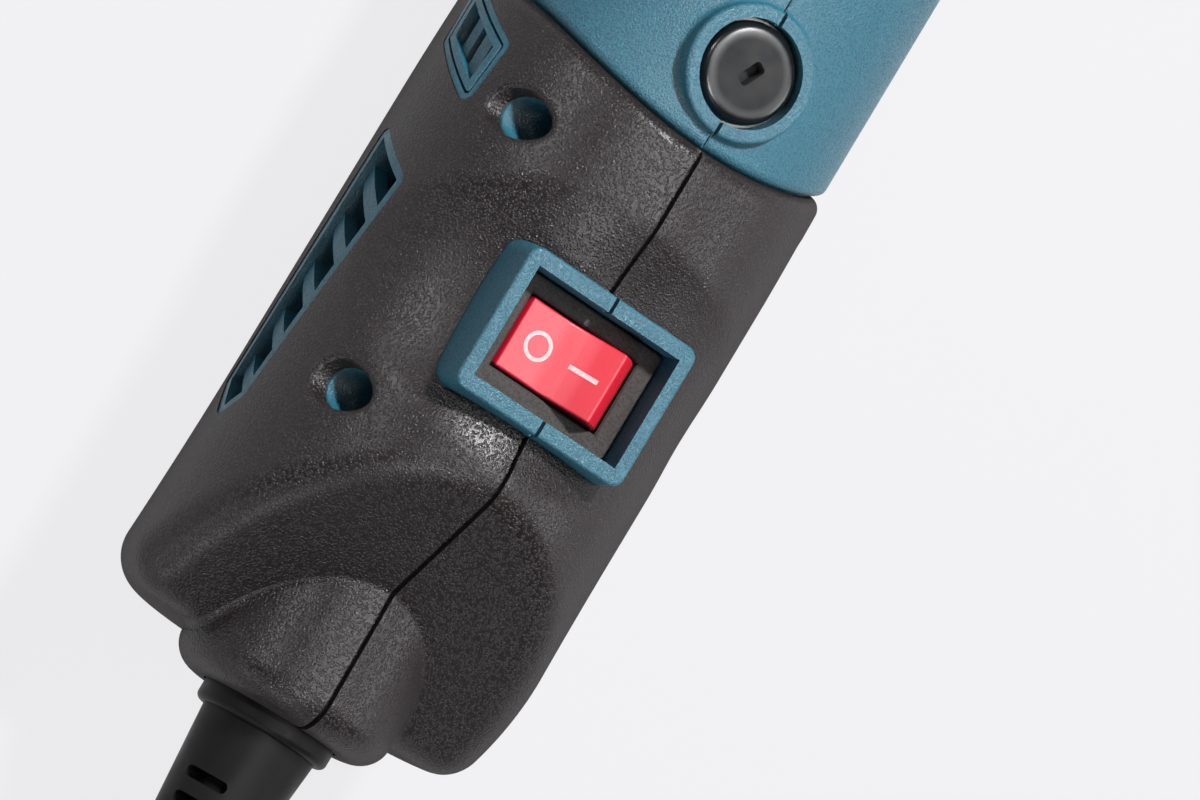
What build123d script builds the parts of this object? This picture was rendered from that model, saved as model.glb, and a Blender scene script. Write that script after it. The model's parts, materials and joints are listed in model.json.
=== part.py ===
"""Corded rotary tool: clamshell housing with a soft grip, brush motor, rocker switch and collet spindle.

Millimetres. X runs along the spindle axis towards the collet, Y to the tool's left, Z to the switch side.
The origin is the centre of the collet's mouth. Most stations are measured from the switch or the brushes.
"""

import os
from math import cos, radians, sin, sqrt, tan

from build123d import *

# Fits
PRESS_GAP = 0.02        # gap of a pressed or seated fit
BOND_GAP = 0.05         # gap of a moulded-on, screwed or laid-in piece
SLIDE_GAP = 0.15        # gap of a guided sliding piece
RUN_GAP = 0.3           # gap between faces that move past one another

# Soft grip, outer form; places are measured from the switch centre
SWITCH_TO_BRUSH = 41.6
GRIP_R = 26.0
GRIP_FLARE = 0.7        # growth in radius towards the rear
GRIP_THICK = 2.0
GRIP_TO_FRONT = 30.8    # front edge, at the top seam
GRIP_EDGE_ARC = 45.0    # radius of the front edge in plan
GRIP_EDGE_ROUND = 1.8
GRIP_EDGE_DROP = 0.4    # fall in radius towards the front edge
GRIP_TO_REAR = 48.5
GRIP_ROUND = 5.5        # rear corners
SLOPE_ANGLE = 38.5
DISH_DEPTH = 2.6        # hollow round the switch frame
DISH_TO_FRONT = 19.0
DISH_TO_REAR = 15.4
DISH_MARGIN = 2.0       # straight barrel beyond the dish
DISH_TO_SLOPE = 3.2     # dish to the top of the rear slope
DISH_DROP = 4.0         # the dish is turned about an axis this far below the spindle
DISH_ROUND = 7.0
SEAM_WIDTH = 0.7
SEAM_DEPTH = 1.2
SKIN_ROUND = 0.8        # least rounding of the shell's form under the grip

# Cord guard, and the collar round it
GUARD_FLANGE_R = 9.1
GUARD_STICK_OUT = 2.6   # flange beyond the collar
GUARD_LIP = 3.0         # shell lip that holds the guard
GUARD_LIP_DEEP = 1.8
GUARD_INNER_STEP = 0.4  # inner flange wider than the outer one
GUARD_INNER_LENGTH = 2.5
GUARD_CONE_STEP = 1.3
GUARD_LENGTH = 33.0     # beyond the collar
GUARD_BORE_R = 3.5
GUARD_CORE_WALL = 1.0   # wall left at the slots
GUARD_TIP_WALL = 1.7
GUARD_SLOT = 1.5
GUARD_SLOT_ROUND = 0.7
GUARD_SLOT_PITCH = 3.4
GUARD_SLOT_START = 10.2
GUARD_SLOT_ANGLE = 50.0
GUARD_ROWS = 6
GUARD_ROUND = 0.9
COLLAR_WALL = 5.8       # guard flange to the outside of the collar
COLLAR_TO_END = 53.2    # from the switch centre
COLLAR_ROUND = 4.0
COLLAR_BLEND = 1.0
COLLAR_LENGTH = 25.0
COLLAR_TAPER = 1.2      # fall in its radius towards the grip

# Hard shell
SHELL_WALL = 2.2
FRONT_STEP = 0.7        # front shell below the grip
LIP_ROUND = 1.2         # rear edge of the front shell, beside the grip
TAPER_LENGTH = 30.0
NOSE_R = 15.0
NOSE_TO_LOCK = 5.0      # end of the taper to the lock button
NECK_LENGTH = 14.0
NECK_WALL = 4.2
NECK_BACK = 22.0        # front of the neck behind the collet's mouth
BULKHEAD = 2.5
SEAT_LEDGE = 1.5        # shell lip behind the front bearing
PARTING_WIDTH = 0.2     # line between the halves of the front shell
PARTING_DEPTH = 0.5

# Rocker switch and its frame
ROCKER_X = 9.6
ROCKER_HALF = 6.65
ROCKER_TILT = 12.0      # each way from level
ROCKER_CENTRE = 4.2    # middle of its top above the pivot
ROCKER_BELOW = 1.6
ROCKER_ROUND = 0.35
ROCKER_VALLEY = 8.0     # radius in the middle of the top
PIVOT_DEPTH = 4.0       # pivot below the bezel's face
PIVOT_R = 1.0
PIVOT_LENGTH = 0.9
PIVOT_GAP = 0.06
BEZEL_RIM_X = 2.65      # rocker to the bezel's edge
BEZEL_RIM_Y = 4.1
BEZEL_THICK = 2.0
BEZEL_GAP = 0.2
BEZEL_ROUND = 0.8
BEZEL_EDGE = 0.3
BEZEL_SLOPE = 0.25      # fall of the bezel towards the rocker
BEZEL_LEDGE = 1.05      # bezel beyond the switch body
SWITCH_DEPTH = 13.0
TERMINAL_WIDTH = 4.8
TERMINAL_THICK = 0.8
TERMINAL_LENGTH = 7.5
TERMINAL_Y = 5.0
FRAME_STAND = 1.2       # frame top above the grip
FRAME_WALL_X = 2.1
FRAME_WALL_Y = 1.85
FRAME_DRAFT = 0.6       # growth of each side towards the shell
FRAME_ROUND = 1.6
FRAME_EDGE = 0.4
FRAME_RECESS = 4.2      # frame top down to the bezel
FRAME_LEDGE = 2.2       # thickness under the bezel
FRAME_SEAM = 0.5        # notch in the frame's top where the shell halves meet
FRAME_SEAM_DEEP = 2.0

# Vents in the flanks: corners as (x from the switch, z)
LONG_VENT = [(10.0, 8.6), (16.2, -2.9), (-21.0, -5.2), (-26.0, -0.6), (-22.6, 3.2)]
LONG_VENT_BARS = 5
LONG_VENT_PITCH = 7.15
LONG_VENT_FIRST = 8.0
LONG_VENT_SLANT = 35.5
LONG_VENT_BAR = 2.2
SHORT_VENT = [(20.8, 10.8), (30.3, 11.9), (37.6, -1.0), (28.0, -1.0)]
SHORT_VENT_BARS = 3
SHORT_VENT_BAR = 2.0
SHORT_VENT_LOW = -0.6   # lowest of its bars
SHORT_VENT_PITCH = 3.3
VENT_RIM = 1.2
SHORT_VENT_RIM = 2.1
VENT_GROOVE_IN = 0.8    # groove round the short vent, from its edge
VENT_GROOVE = 0.35
VENT_ROUND = 1.4
VENT_SINK = 0.15        # rim below the grip's surface
BAR_SINK = 1.1
OUTLET_BACK = 5.0       # rearmost air outlet behind the fan
OUTLET_COUNT = 4
OUTLET_PITCH = 3.6
OUTLET_WIDTH = 1.9
OUTLET_LENGTH = 17.0
OUTLET_SLANT = 20.0

# Housing screws: those under the grip, measured from the switch, and the pair by the field
GRIP_SCREWS = [(23.0, 9.7), (-16.2, 10.8)]  # x, and depth below the grip's surface
FIELD_SCREW_AHEAD = 12.0    # of the brushes
FIELD_SCREW_SINK = 4.4      # below the front shell's surface
BOSS_WALL = 1.0
WELL_GAP = 0.4          # round the screw head
WELL_SEAT_Y = 6.0
WELL_MOUTH_STEP = 0.2   # mouth in the grip wider than the well
WELL_MOUTH_ROUND = 0.8
SCREW_R = 1.45
SCREW_HEAD_R = 2.4
SCREW_HEAD = 1.8
SCREW_DEEP = 10.0       # thread beyond the parting plane
SCREW_SPARE = 1.0       # hole beyond the screw's tip

# Brush gear
RING_WALL = 1.85
RING_STAND = 1.1        # ring face above the shell
RING_ROUND = 0.5
RING_FOOT = 0.8         # blend into the shell
CAP_R = 6.4
CAP_THREAD_STEP = 0.35  # thread wider than the head
CAP_THREAD_GAP = 0.1
CAP_HEAD = 2.0
CAP_THREAD = 1.8
CAP_SINK = 0.2
CAP_ROUND = 0.8
CAP_SLOT = 3.5
CAP_SLOT_WIDTH = 1.7
CAP_SLOT_DEPTH = 2.4
CAP_SLOT_ROUND = 0.5
CAP_SLOT_TURN = 26.0
BRUSH_X_SIZE = 5.0
BRUSH_Y_SIZE = 8.0
BRUSH_TRAVEL = 1.5
HOLDER_WALL = 1.0
HOLDER_LIFT = 1.5       # holder clear of the commutator
BRUSH_SPRING_R = 2.0
SPRING_WIRE = 0.3       # wire radius of all springs
SPRING_TURNS = 3

# Motor
COMMUTATOR_R = 9.5
COMMUTATOR_LENGTH = 14.0
COMMUTATOR_BARS = 24
COMMUTATOR_SLIT = 0.4
COMMUTATOR_SLIT_DEEP = 1.2
CORE_LENGTH = 32.0
CORE_SLOTS = 12
CORE_SLOT_WIDTH = 2.6
CORE_SLOT_ROOT = 6.6
WINDING_OVERHANG = 7.0
WINDING_SINK = 0.9      # below the core's surface
WINDING_LIFT = 0.9      # end turns clear of the shaft
WINDING_ROUND = 2.2
AIR_GAP = 0.5
FIELD_CLEAR = 3.1       # field core to the shell
FIELD_FLAT_CUT = 0.8    # off the round at top and bottom
FIELD_YOKE = 3.6
COIL_SPACE = 3.4        # between the yoke and the armature's air gap
COIL_OVERHANG = 6.0
COIL_GAP = 0.25
COIL_TO_RING = 1.2      # coil ends to the brush rings
COIL_TO_BAFFLE = 0.3
WINDOW_HALF = 38.0      # half angle of the winding window, from the flats
COIL_PART = 3.0         # half angle between the two coils
SHAFT_R = 4.5
SHAFT_REAR = 22.0       # shaft end behind the brushes
PAD_HALF = 12.0
PAD_STOP = 1.2
PAD_OVERRUN = 2.0

# Bearings
REAR_BEARING_BORE_R = 3.0
REAR_BEARING_R = 9.5
REAR_BEARING_WIDTH = 6.0
REAR_BEARING_BACK = 17.0    # centre behind the brushes
FRONT_BEARING_BORE_R = 4.0
FRONT_BEARING_R = 11.0
FRONT_BEARING_WIDTH = 7.0
BALLS = 7
BALL_SHARE = 0.27       # ball radius as a share of the ring height
SHIELD = 0.5
BUSH_WALL = 2.0
SEAT_WALL = 2.0
SEAT_LIP = 1.2
SEAT_LIP_DEEP = 1.0
WEB_THICK = 2.2

# Fan and baffle
FAN_LENGTH = 8.0
FAN_CLEAR = 1.4         # blade tips to the shell
FAN_TO_BULKHEAD = 1.5
FAN_HUB_R = 7.5
FAN_HUB_SINK = 0.5      # blade roots inside the hub
FAN_PLATE = 1.5
FAN_BLADES = 13
FAN_BLADE_ANGLE = 4.5   # thickness of a blade at every radius
FAN_SWEEP = 22.0
FAN_BEND = 0.35         # share of the sweep at half reach
BAFFLE_TO_FAN = 2.9
BAFFLE_THICK = 1.8
BAFFLE_IN_R = 14.0
BAFFLE_EDGE = 0.8       # clear of the shell's inside
BAFFLE_RIB = 2.0
BAFFLE_RIB_THICK = 1.0

# Spindle nose, collet and lock
COLLET_BORE_R = 1.6
COLLET_BODY_R = 2.6
COLLET_HEAD_R = 3.5
COLLET_MOUTH_R = 2.6
COLLET_HEAD = 6.5
COLLET_LENGTH = 22.0
COLLET_SLIT = 0.5
COLLET_SLIT_LENGTH = 14.0
COLLET_SEAT = 1.5       # head clear of the spindle's end
NUT_FLATS = 13.0
NUT_LENGTH = 16.5
NUT_FRONT = 0.6         # nut face behind the collet's mouth
NUT_CONE = 4.5
NUT_FACE_R = 4.6
NUT_SEAT_GAP = 0.1
NUT_TO_CAP = 1.1        # nut corners to the nose cap's hole
CAP_NOSE_LENGTH = 16.0
CAP_NOSE_WALL = 2.4     # at its rear
CAP_NOSE_TAPER = 1.8
CAP_NOSE_RIBS = 18
CAP_NOSE_RIB_R = 0.9
CAP_NOSE_RIB_BACK = 2.0
LOCK_COLLAR_R = 6.0
LOCK_COLLAR_LENGTH = 8.0
LOCK_COLLAR_GAP = 1.0   # to the bore of the neck
LOCK_TRAVEL = 1.4
LOCK_PIN_R = 1.5
LOCK_REST = 0.4         # pin tip above the collar at rest
LOCK_BUTTON_R = 3.4
LOCK_STEP = 1.0         # flange wider than the button
LOCK_FLANGE = 1.2
LOCK_STAND = 2.3        # button above the nose
LOCK_ROOF = 2.0         # shell over the flange
LOCK_WALL = 0.6         # shell ahead of the flange
LOCK_REAR_WALL = 2.6
LOCK_SPRING_OUT = 1.5   # spring's coil outside the pin
LOCK_ROUND = 0.8

# Cord clamp and leads
CLAMP_BACK = 25.0       # behind the switch
CLAMP_X_SIZE = 8.0
CLAMP_THICK = 3.0
CLAMP_Y = 2.0
CLAMP_SCREW_Z = 7.3
CLAMP_OVERHANG = 3.0
CLAMP_POST_R = 3.0
CLAMP_SCREW_R = 1.3
CLAMP_HEAD_R = 2.4
CLAMP_HEAD = 1.6
CLAMP_SCREW_DEEP = 9.0
LEAD_R = 0.8
LEAD_OUT = 0.6          # beyond the middle of the field coil
LEAD_BEND = 3.0
LEAD_RUN = 8.0

# Sizes that follow: radii
SHELL_R = GRIP_R - GRIP_THICK
CAVITY_R = SHELL_R - SHELL_WALL
FRONT_R = GRIP_R - FRONT_STEP
FRONT_WALL_R = FRONT_R - SHELL_WALL / 2     # middle of the front shell's wall
COLLAR_R = GUARD_FLANGE_R + COLLAR_WALL
LOCK_FLANGE_R = LOCK_BUTTON_R + LOCK_STEP
NECK_BORE_R = LOCK_COLLAR_R + LOCK_COLLAR_GAP
NECK_R = NECK_BORE_R + NECK_WALL
FRONT_SHAFT_R = FRONT_BEARING_BORE_R
FIELD_R = FRONT_R - SHELL_WALL - FIELD_CLEAR
FIELD_YOKE_R = FIELD_R - FIELD_YOKE
FIELD_BORE_R = FIELD_YOKE_R - COIL_SPACE
CORE_R = FIELD_BORE_R - AIR_GAP
WINDING_R = CORE_R - WINDING_SINK
BUSH_R = REAR_BEARING_R + BUSH_WALL
CAP_THREAD_R = CAP_R + CAP_THREAD_STEP
RING_R = CAP_THREAD_R + RING_WALL
WELL_R = SCREW_HEAD_R + WELL_GAP
BOSS_R = WELL_R + BOSS_WALL
SPRING_SOLID = 2 * SPRING_WIRE * SPRING_TURNS   # length of a closed spring

# Sizes that follow: stations along the spindle, from the collet's mouth to the rear
NECK_FRONT_X = -NECK_BACK
NECK_X = NECK_FRONT_X - NECK_LENGTH
NOSE_CAP_X = NECK_X + PRESS_GAP
LOCK_X = NECK_X - LOCK_WALL - LOCK_FLANGE_R
NOSE_X = LOCK_X - NOSE_TO_LOCK
TAPER_X = NOSE_X - TAPER_LENGTH
FRONT_BEARING_X = LOCK_X - LOCK_FLANGE_R - LOCK_REAR_WALL - FRONT_BEARING_WIDTH / 2
BULKHEAD_X = FRONT_BEARING_X - FRONT_BEARING_WIDTH / 2 - BULKHEAD
FAN_X = BULKHEAD_X - FAN_TO_BULKHEAD - FAN_LENGTH
OUTLET_X = FAN_X - OUTLET_BACK
BAFFLE_X = FAN_X - BAFFLE_TO_FAN - BAFFLE_THICK / 2
CORE_FRONT_X = BAFFLE_X - BAFFLE_THICK / 2 - COIL_TO_BAFFLE - COIL_OVERHANG
CORE_REAR_X = CORE_FRONT_X - CORE_LENGTH
BRUSH_X = CORE_REAR_X - COIL_OVERHANG - COIL_TO_RING - RING_R
FIELD_SCREW_X = BRUSH_X + FIELD_SCREW_AHEAD
REAR_BEARING_X = BRUSH_X - REAR_BEARING_BACK
SWITCH_X = BRUSH_X - SWITCH_TO_BRUSH
SLOPE_START = DISH_TO_REAR + DISH_TO_SLOPE
EDGE_X = SWITCH_X + GRIP_TO_FRONT
EDGE_CENTRE_X = EDGE_X + GRIP_EDGE_ARC
HOLLOW_FRONT_X = EDGE_CENTRE_X - sqrt(GRIP_EDGE_ARC**2 - FRONT_R**2) + SHELL_WALL
CLAMP_X = SWITCH_X - CLAMP_BACK
COLLAR_END_X = SWITCH_X - COLLAR_TO_END
GUARD_LIP_X = COLLAR_END_X + GRIP_THICK + SHELL_WALL

# Sizes that follow: heights and widths at the switch, the screws, the brushes and the lock
BEZEL_X = ROCKER_X + 2 * BEZEL_RIM_X
BEZEL_Y = 2 * (ROCKER_HALF + BEZEL_RIM_Y)
FRAME_X = BEZEL_X + 2 * (BEZEL_GAP + FRAME_WALL_X)
FRAME_Y = BEZEL_Y + 2 * (BEZEL_GAP + FRAME_WALL_Y)
SWITCH_BODY_X = BEZEL_X - 2 * BEZEL_LEDGE
SWITCH_BODY_Y = BEZEL_Y - 2 * BEZEL_LEDGE
FRAME_TOP_Z = GRIP_R + FRAME_STAND
BEZEL_Z = FRAME_TOP_Z - FRAME_RECESS
LEDGE_Z = BEZEL_Z - BEZEL_THICK
SWITCH_FOOT_Z = LEDGE_Z - SWITCH_DEPTH
PIVOT_Z = BEZEL_Z - PIVOT_DEPTH
ROCKER_TIP = ROCKER_CENTRE + ROCKER_HALF * tan(radians(ROCKER_TILT))
ROCKER_SWING_R = sqrt(ROCKER_HALF**2 + ROCKER_TIP**2)
FIELD_SCREW_Z = FRONT_R - FIELD_SCREW_SINK
RING_Z = FRONT_R + RING_STAND
CAP_Z = RING_Z - CAP_SINK
CAP_BOTTOM_Z = CAP_Z - CAP_HEAD - CAP_THREAD
HOLDER_Z = COMMUTATOR_R + HOLDER_LIFT
BRUSH_TIP_Z = COMMUTATOR_R + RUN_GAP
BRUSH_TOP_Z = CAP_BOTTOM_Z - SPRING_SOLID - BRUSH_TRAVEL
LOCK_CEILING_Z = NOSE_R - LOCK_ROOF
LOCK_FLANGE_Z = LOCK_CEILING_Z - LOCK_FLANGE
LOCK_FLOOR_Z = LOCK_FLANGE_Z - LOCK_TRAVEL - SPRING_SOLID

FROM_BASE = (Align.CENTER, Align.CENTER, Align.MIN)
FROM_CORNER = (Align.MIN, Align.MIN, Align.MIN)
FAR = 600.0             # well beyond the tool
EDGE_STEPS = (0, 0.25, 0.5, 0.75, 1)    # places along an edge that are looked at


def turned(edges):
    """Solid turned about the spindle axis from edges drawn as (x, radius), closing on the underside."""
    return Rot(180, 0, 0) * revolve(make_face([Plane.XZ * edge for edge in edges]), Axis.X)


def turned_outline(*points):
    """Solid turned about the spindle axis from a closed outline of (x, radius) points."""
    return turned(Polyline(*points, close=True).edges())


def ring(x_rear, x_front, r_in, r_out):
    """Plain ring about the spindle axis."""
    return turned_outline((x_rear, r_in), (x_rear, r_out), (x_front, r_out), (x_front, r_in))


def disc(x_rear, x_front, radius):
    """Plain cylinder on the spindle axis."""
    plane = Plane((x_rear, 0, 0), z_dir=(1, 0, 0))
    return plane * Cylinder(radius, x_front - x_rear, align=FROM_BASE)


def along_y(x, z, radius, y_low, y_high):
    """Cylinder parallel to Y."""
    plane = Plane((x, y_low, z), z_dir=(0, 1, 0))
    return plane * Cylinder(radius, y_high - y_low, align=FROM_BASE)


def along_z(x, radius, z_low, z_high, y=0):
    """Cylinder parallel to Z."""
    return Pos(x, y, z_low) * Cylinder(radius, z_high - z_low, align=FROM_BASE)


def block(x_range, y_range, z_range):
    """Box between limits on each axis."""
    (x_low, x_high), (y_low, y_high), (z_low, z_high) = x_range, y_range, z_range
    box = Box(x_high - x_low, y_high - y_low, z_high - z_low, align=FROM_CORNER)
    return Pos(x_low, y_low, z_low) * box


def centred(size):
    """Range of a size laid evenly about zero."""
    return (-size / 2, size / 2)


def span(middle, size):
    """Range of a size laid evenly about a station."""
    return (middle - size / 2, middle + size / 2)


def sector(x_rear, x_front, r_in, r_out, start, end):
    """Part of a ring about the spindle axis, between two angles from +Z towards +Y."""
    outline = Polyline((x_rear, r_in), (x_rear, r_out), (x_front, r_out), (x_front, r_in), close=True)
    part = revolve(make_face(Plane.XZ * outline), Axis.X, revolution_arc=end - start)
    return Rot(-end, 0, 0) * part


def around(shape, count, first=0.0):
    """Copies of a shape set evenly round the spindle axis."""
    return [Rot(first + 360 * index / count, 0, 0) * shape for index in range(count)]


def lower(shape):
    """The same piece on the underside."""
    return mirror(shape, about=Plane.XY)


def radius_of(point):
    """Distance of a point from the spindle axis."""
    return sqrt(point.Y**2 + point.Z**2)


def coil_spring(radius, wire, turns, length):
    """Open coil spring standing on the origin along Z."""
    path = Helix((length - 2 * wire) / turns, length - 2 * wire, radius)
    return Pos(0, 0, wire) * sweep(Plane(path @ 0, z_dir=path % 0) * Circle(wire), path, is_frenet=True)


def slope_plane(inset):
    """Plane of the rear slope, moved inwards."""
    normal = Vector(-sin(radians(SLOPE_ANGLE)), 0, cos(radians(SLOPE_ANGLE)))
    return Plane(Vector(SWITCH_X - SLOPE_START, 0, GRIP_R) - normal * inset, x_dir=(0, 1, 0), z_dir=normal)


def lies_on(edge, plane):
    """Whether an edge runs in a plane."""
    return all(abs(plane.to_local_coords(edge @ step).Z) < 1e-3 for step in EDGE_STEPS)


def grip_barrel(inset):
    """Body of the grip with its rear slope and rounded rear corners."""
    radius = GRIP_R - inset
    rear, front = SWITCH_X - GRIP_TO_REAR + inset, HOLLOW_FRONT_X
    flare, fall = SWITCH_X - DISH_TO_REAR - DISH_MARGIN, SWITCH_X + DISH_TO_FRONT + DISH_MARGIN
    edges = [
        Line((rear, 0), (rear, radius + GRIP_FLARE)),
        TangentArc((flare, radius), (rear, radius + GRIP_FLARE), tangent=(-1, 0)),
        Line((flare, radius), (fall, radius)),
        TangentArc((fall, radius), (front, radius - GRIP_EDGE_DROP), tangent=(1, 0)),
        Line((front, radius - GRIP_EDGE_DROP), (front, 0)),
        Line((front, 0), (rear, 0)),
    ]
    slope = slope_plane(inset)
    barrel = turned(edges) - slope * Box(FAR, FAR, FAR, align=FROM_BASE)
    rear_plane = Plane((rear, 0, 0), z_dir=(-1, 0, 0))
    corners = [edge for edge in barrel.edges() if lies_on(edge, slope) or lies_on(edge, rear_plane)]
    return fillet(corners, max(GRIP_ROUND - inset, SKIN_ROUND))


def dish(inset):
    """Cutter for the shallow hollow round the switch frame."""
    half = (DISH_TO_FRONT + DISH_TO_REAR) / 2
    curve_r = (half**2 + DISH_DEPTH**2) / (2 * DISH_DEPTH)
    middle = SWITCH_X + (DISH_TO_FRONT - DISH_TO_REAR) / 2
    floor = GRIP_R + DISH_DROP - DISH_DEPTH - inset
    reach = 1.5 * half
    rim = floor + curve_r - sqrt(curve_r**2 - reach**2)
    rear, front = middle - reach, middle + reach
    edges = [
        ThreePointArc((rear, rim), (middle, floor), (front, rim)),
        Line((front, rim), (front, 2 * rim)),
        Line((front, 2 * rim), (rear, 2 * rim)),
        Line((rear, 2 * rim), (rear, rim)),
    ]
    return Pos(0, 0, -DISH_DROP) * turned(edges)


def grip_form(inset):
    """Grip body without the collar, moved inwards all round."""
    return grip_barrel(inset) - dish(inset)


def collar_radius(x):
    """Outer radius of the collar at a station."""
    return COLLAR_R - COLLAR_TAPER * (x - COLLAR_END_X) / COLLAR_LENGTH


def collar(inset):
    """Slightly tapered round boss that the cord guard leaves by."""
    end, root = COLLAR_END_X + inset, COLLAR_END_X + COLLAR_LENGTH
    end_r, root_r = collar_radius(end) - inset, collar_radius(root) - inset
    body = turned_outline((end, 0), (end, end_r), (root, root_r), (root, 0))
    mouth = body.edges().filter_by(GeomType.CIRCLE).sort_by(Axis.X)[0]
    return fillet(mouth, max(COLLAR_ROUND - inset, SKIN_ROUND))


def new_edges(before, after):
    """Edges of the second shape that the first one does not have."""
    known = [(edge.center(), edge.length) for edge in before.edges()]

    def was_there(edge):
        """Whether the first shape has this edge."""
        middle, size = edge.center(), edge.length
        return any((middle - place).length < 1e-4 and abs(size - long) < 1e-4 for place, long in known)

    return [edge for edge in after.edges() if not was_there(edge)]


def at_radius(edge, radius, slack=0.01):
    """Whether an edge keeps one distance from the spindle axis."""
    return all(abs(radius_of(edge @ step) - radius) < slack for step in EDGE_STEPS)


def on_collar(edge):
    """Whether an edge lies on the collar's side."""
    points = [edge @ step for step in EDGE_STEPS]
    return all(abs(radius_of(p) - collar_radius(p.X)) < 0.01 for p in points)


def at_front_edge(edge, gap):
    """Whether an edge follows the grip's curved front edge in plan."""
    points = [edge @ step for step in EDGE_STEPS]
    return all(abs(sqrt((p.X - EDGE_CENTRE_X)**2 + p.Y**2) - GRIP_EDGE_ARC - gap) < 0.01 for p in points)


def grip_outside():
    """Outer form of the soft grip with its blends."""
    barrel = grip_barrel(0)
    body = barrel - dish(0)
    rim = [edge for edge in new_edges(barrel, body) if edge.geom_type == GeomType.BSPLINE]
    body = fillet(rim, DISH_ROUND) + collar(0)
    start = COLLAR_END_X + COLLAR_ROUND + COLLAR_BLEND / 2
    curved = [edge for edge in body.edges() if edge.geom_type != GeomType.LINE]
    root = [edge for edge in curved if edge.center().X > start and on_collar(edge)]
    return fillet(root, COLLAR_BLEND)


def ahead_of_edge(gap):
    """Space ahead of the grip's curved front edge, with a gap behind it."""
    curve = along_z(EDGE_CENTRE_X, GRIP_EDGE_ARC + gap, -FAR / 2, FAR / 2)
    return curve + block((EDGE_CENTRE_X, EDGE_CENTRE_X + FAR), centred(FAR), centred(FAR))


def front_form(inset, x_rear, x_front):
    """Turned form of the front shell from the brush zone to the nose."""
    bend = ((TAPER_X + NOSE_X) / 2, (FRONT_R + NOSE_R) / 2 - inset)
    edges = [
        Line((x_rear, 0), (x_rear, FRONT_R - inset)),
        Line((x_rear, FRONT_R - inset), (TAPER_X, FRONT_R - inset)),
        TangentArc((TAPER_X, FRONT_R - inset), bend, tangent=(1, 0)),
        TangentArc((NOSE_X, NOSE_R - inset), bend, tangent=(-1, 0)),
        Line((NOSE_X, NOSE_R - inset), (NECK_X, NOSE_R - inset)),
        Line((NECK_X, NOSE_R - inset), (NECK_X, 0)),
        Line((NECK_X, 0), (x_rear, 0)),
    ]
    return turned(edges) & disc(x_rear, x_front, FAR)


def taper_radius(x):
    """Outer radius of the front shell at a station on its taper."""
    length, height = NOSE_X - TAPER_X, FRONT_R - NOSE_R
    bend_r = (length**2 + height**2) / (4 * height)
    if x < (TAPER_X + NOSE_X) / 2:
        return FRONT_R - bend_r + sqrt(bend_r**2 - max(x - TAPER_X, 0)**2)
    return NOSE_R + bend_r - sqrt(bend_r**2 - min(x - NOSE_X, 0)**2)


def baffle_radius():
    """Outer radius of the air baffle, just inside the shell."""
    return taper_radius(BAFFLE_X + BAFFLE_THICK) - SHELL_WALL - BAFFLE_EDGE


def vent_face(corners, inset):
    """Outline of a flank vent in the XZ plane, moved inwards."""
    outline = make_face(Polyline(*[(SWITCH_X + x, z) for x, z in corners], close=True))
    return offset(fillet(outline.vertices(), VENT_ROUND), -inset, kind=Kind.ARC)


def through_y(face):
    """Face drawn in the XZ plane carried through both flanks."""
    return extrude(Plane.XZ * face, FAR / 2, both=True)


def long_vent_bars():
    """Slanted bars of the long vent, drawn in the XZ plane."""
    first = SWITCH_X + LONG_VENT_FIRST
    bar = Rot(0, 0, LONG_VENT_SLANT) * Rectangle(LONG_VENT_BAR, FAR)
    return [Pos(first - index * LONG_VENT_PITCH, 0) * bar for index in range(LONG_VENT_BARS)]


def short_vent_bars():
    """Lengthwise bars of the short vent, drawn in the XZ plane."""
    first = SHORT_VENT_LOW + SHORT_VENT_BAR / 2
    bar = Rectangle(2 * FAR, SHORT_VENT_BAR)
    return [Pos(SWITCH_X, first + index * SHORT_VENT_PITCH) * bar for index in range(SHORT_VENT_BARS)]


def vents():
    """Flank vents as outline, width of the rim, and bars."""
    return [(LONG_VENT, VENT_RIM, long_vent_bars()), (SHORT_VENT, SHORT_VENT_RIM, short_vent_bars())]


def vent_frames():
    """Rims and bars of the flank vents, on both sides."""
    inner = SHELL_R - SHELL_WALL / 2
    rim_band = ring(SWITCH_X - GRIP_TO_REAR, EDGE_CENTRE_X, inner, GRIP_R - VENT_SINK)
    bar_band = ring(SWITCH_X - GRIP_TO_REAR, EDGE_CENTRE_X, inner, GRIP_R - BAR_SINK)
    groove = vent_face(SHORT_VENT, VENT_GROOVE_IN) - vent_face(SHORT_VENT, VENT_GROOVE_IN + VENT_GROOVE)
    frames = []
    for corners, rim_width, bars in vents():
        opening = vent_face(corners, rim_width)
        rim = through_y(vent_face(corners, 0) - opening) & rim_band
        frames.append(rim - (through_y(groove) - bar_band))
        frames.extend(through_y(bar & opening) & bar_band for bar in bars)
    return frames


def vent_openings():
    """Cutters for the flank vents inside their rims."""
    return [through_y(vent_face(corners, rim_width)) for corners, rim_width, bars in vents()]


def outlet_slots():
    """Cutters for the air outlets beside the fan."""
    slot = Rot(0, 0, 90 + OUTLET_SLANT) * SlotOverall(OUTLET_LENGTH, OUTLET_WIDTH)
    return [through_y(Pos(OUTLET_X + index * OUTLET_PITCH, 0) * slot) for index in range(OUTLET_COUNT)]


def frame_block():
    """Block of the raised frame round the switch, with its well inside the shell."""
    top = RectangleRounded(FRAME_X, FRAME_Y, FRAME_ROUND)
    grown = 2 * FRAME_DRAFT
    foot = RectangleRounded(FRAME_X + grown, FRAME_Y + grown, FRAME_ROUND + FRAME_DRAFT)
    return loft([Pos(SWITCH_X, 0, LEDGE_Z - FRAME_LEDGE) * foot, Pos(SWITCH_X, 0, FRAME_TOP_Z) * top])


def switch_frame():
    """Raised frame round the switch with its top edge rounded."""
    body = frame_block()
    return fillet(body.edges().group_by(Axis.Z)[-1], FRAME_EDGE)


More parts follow.
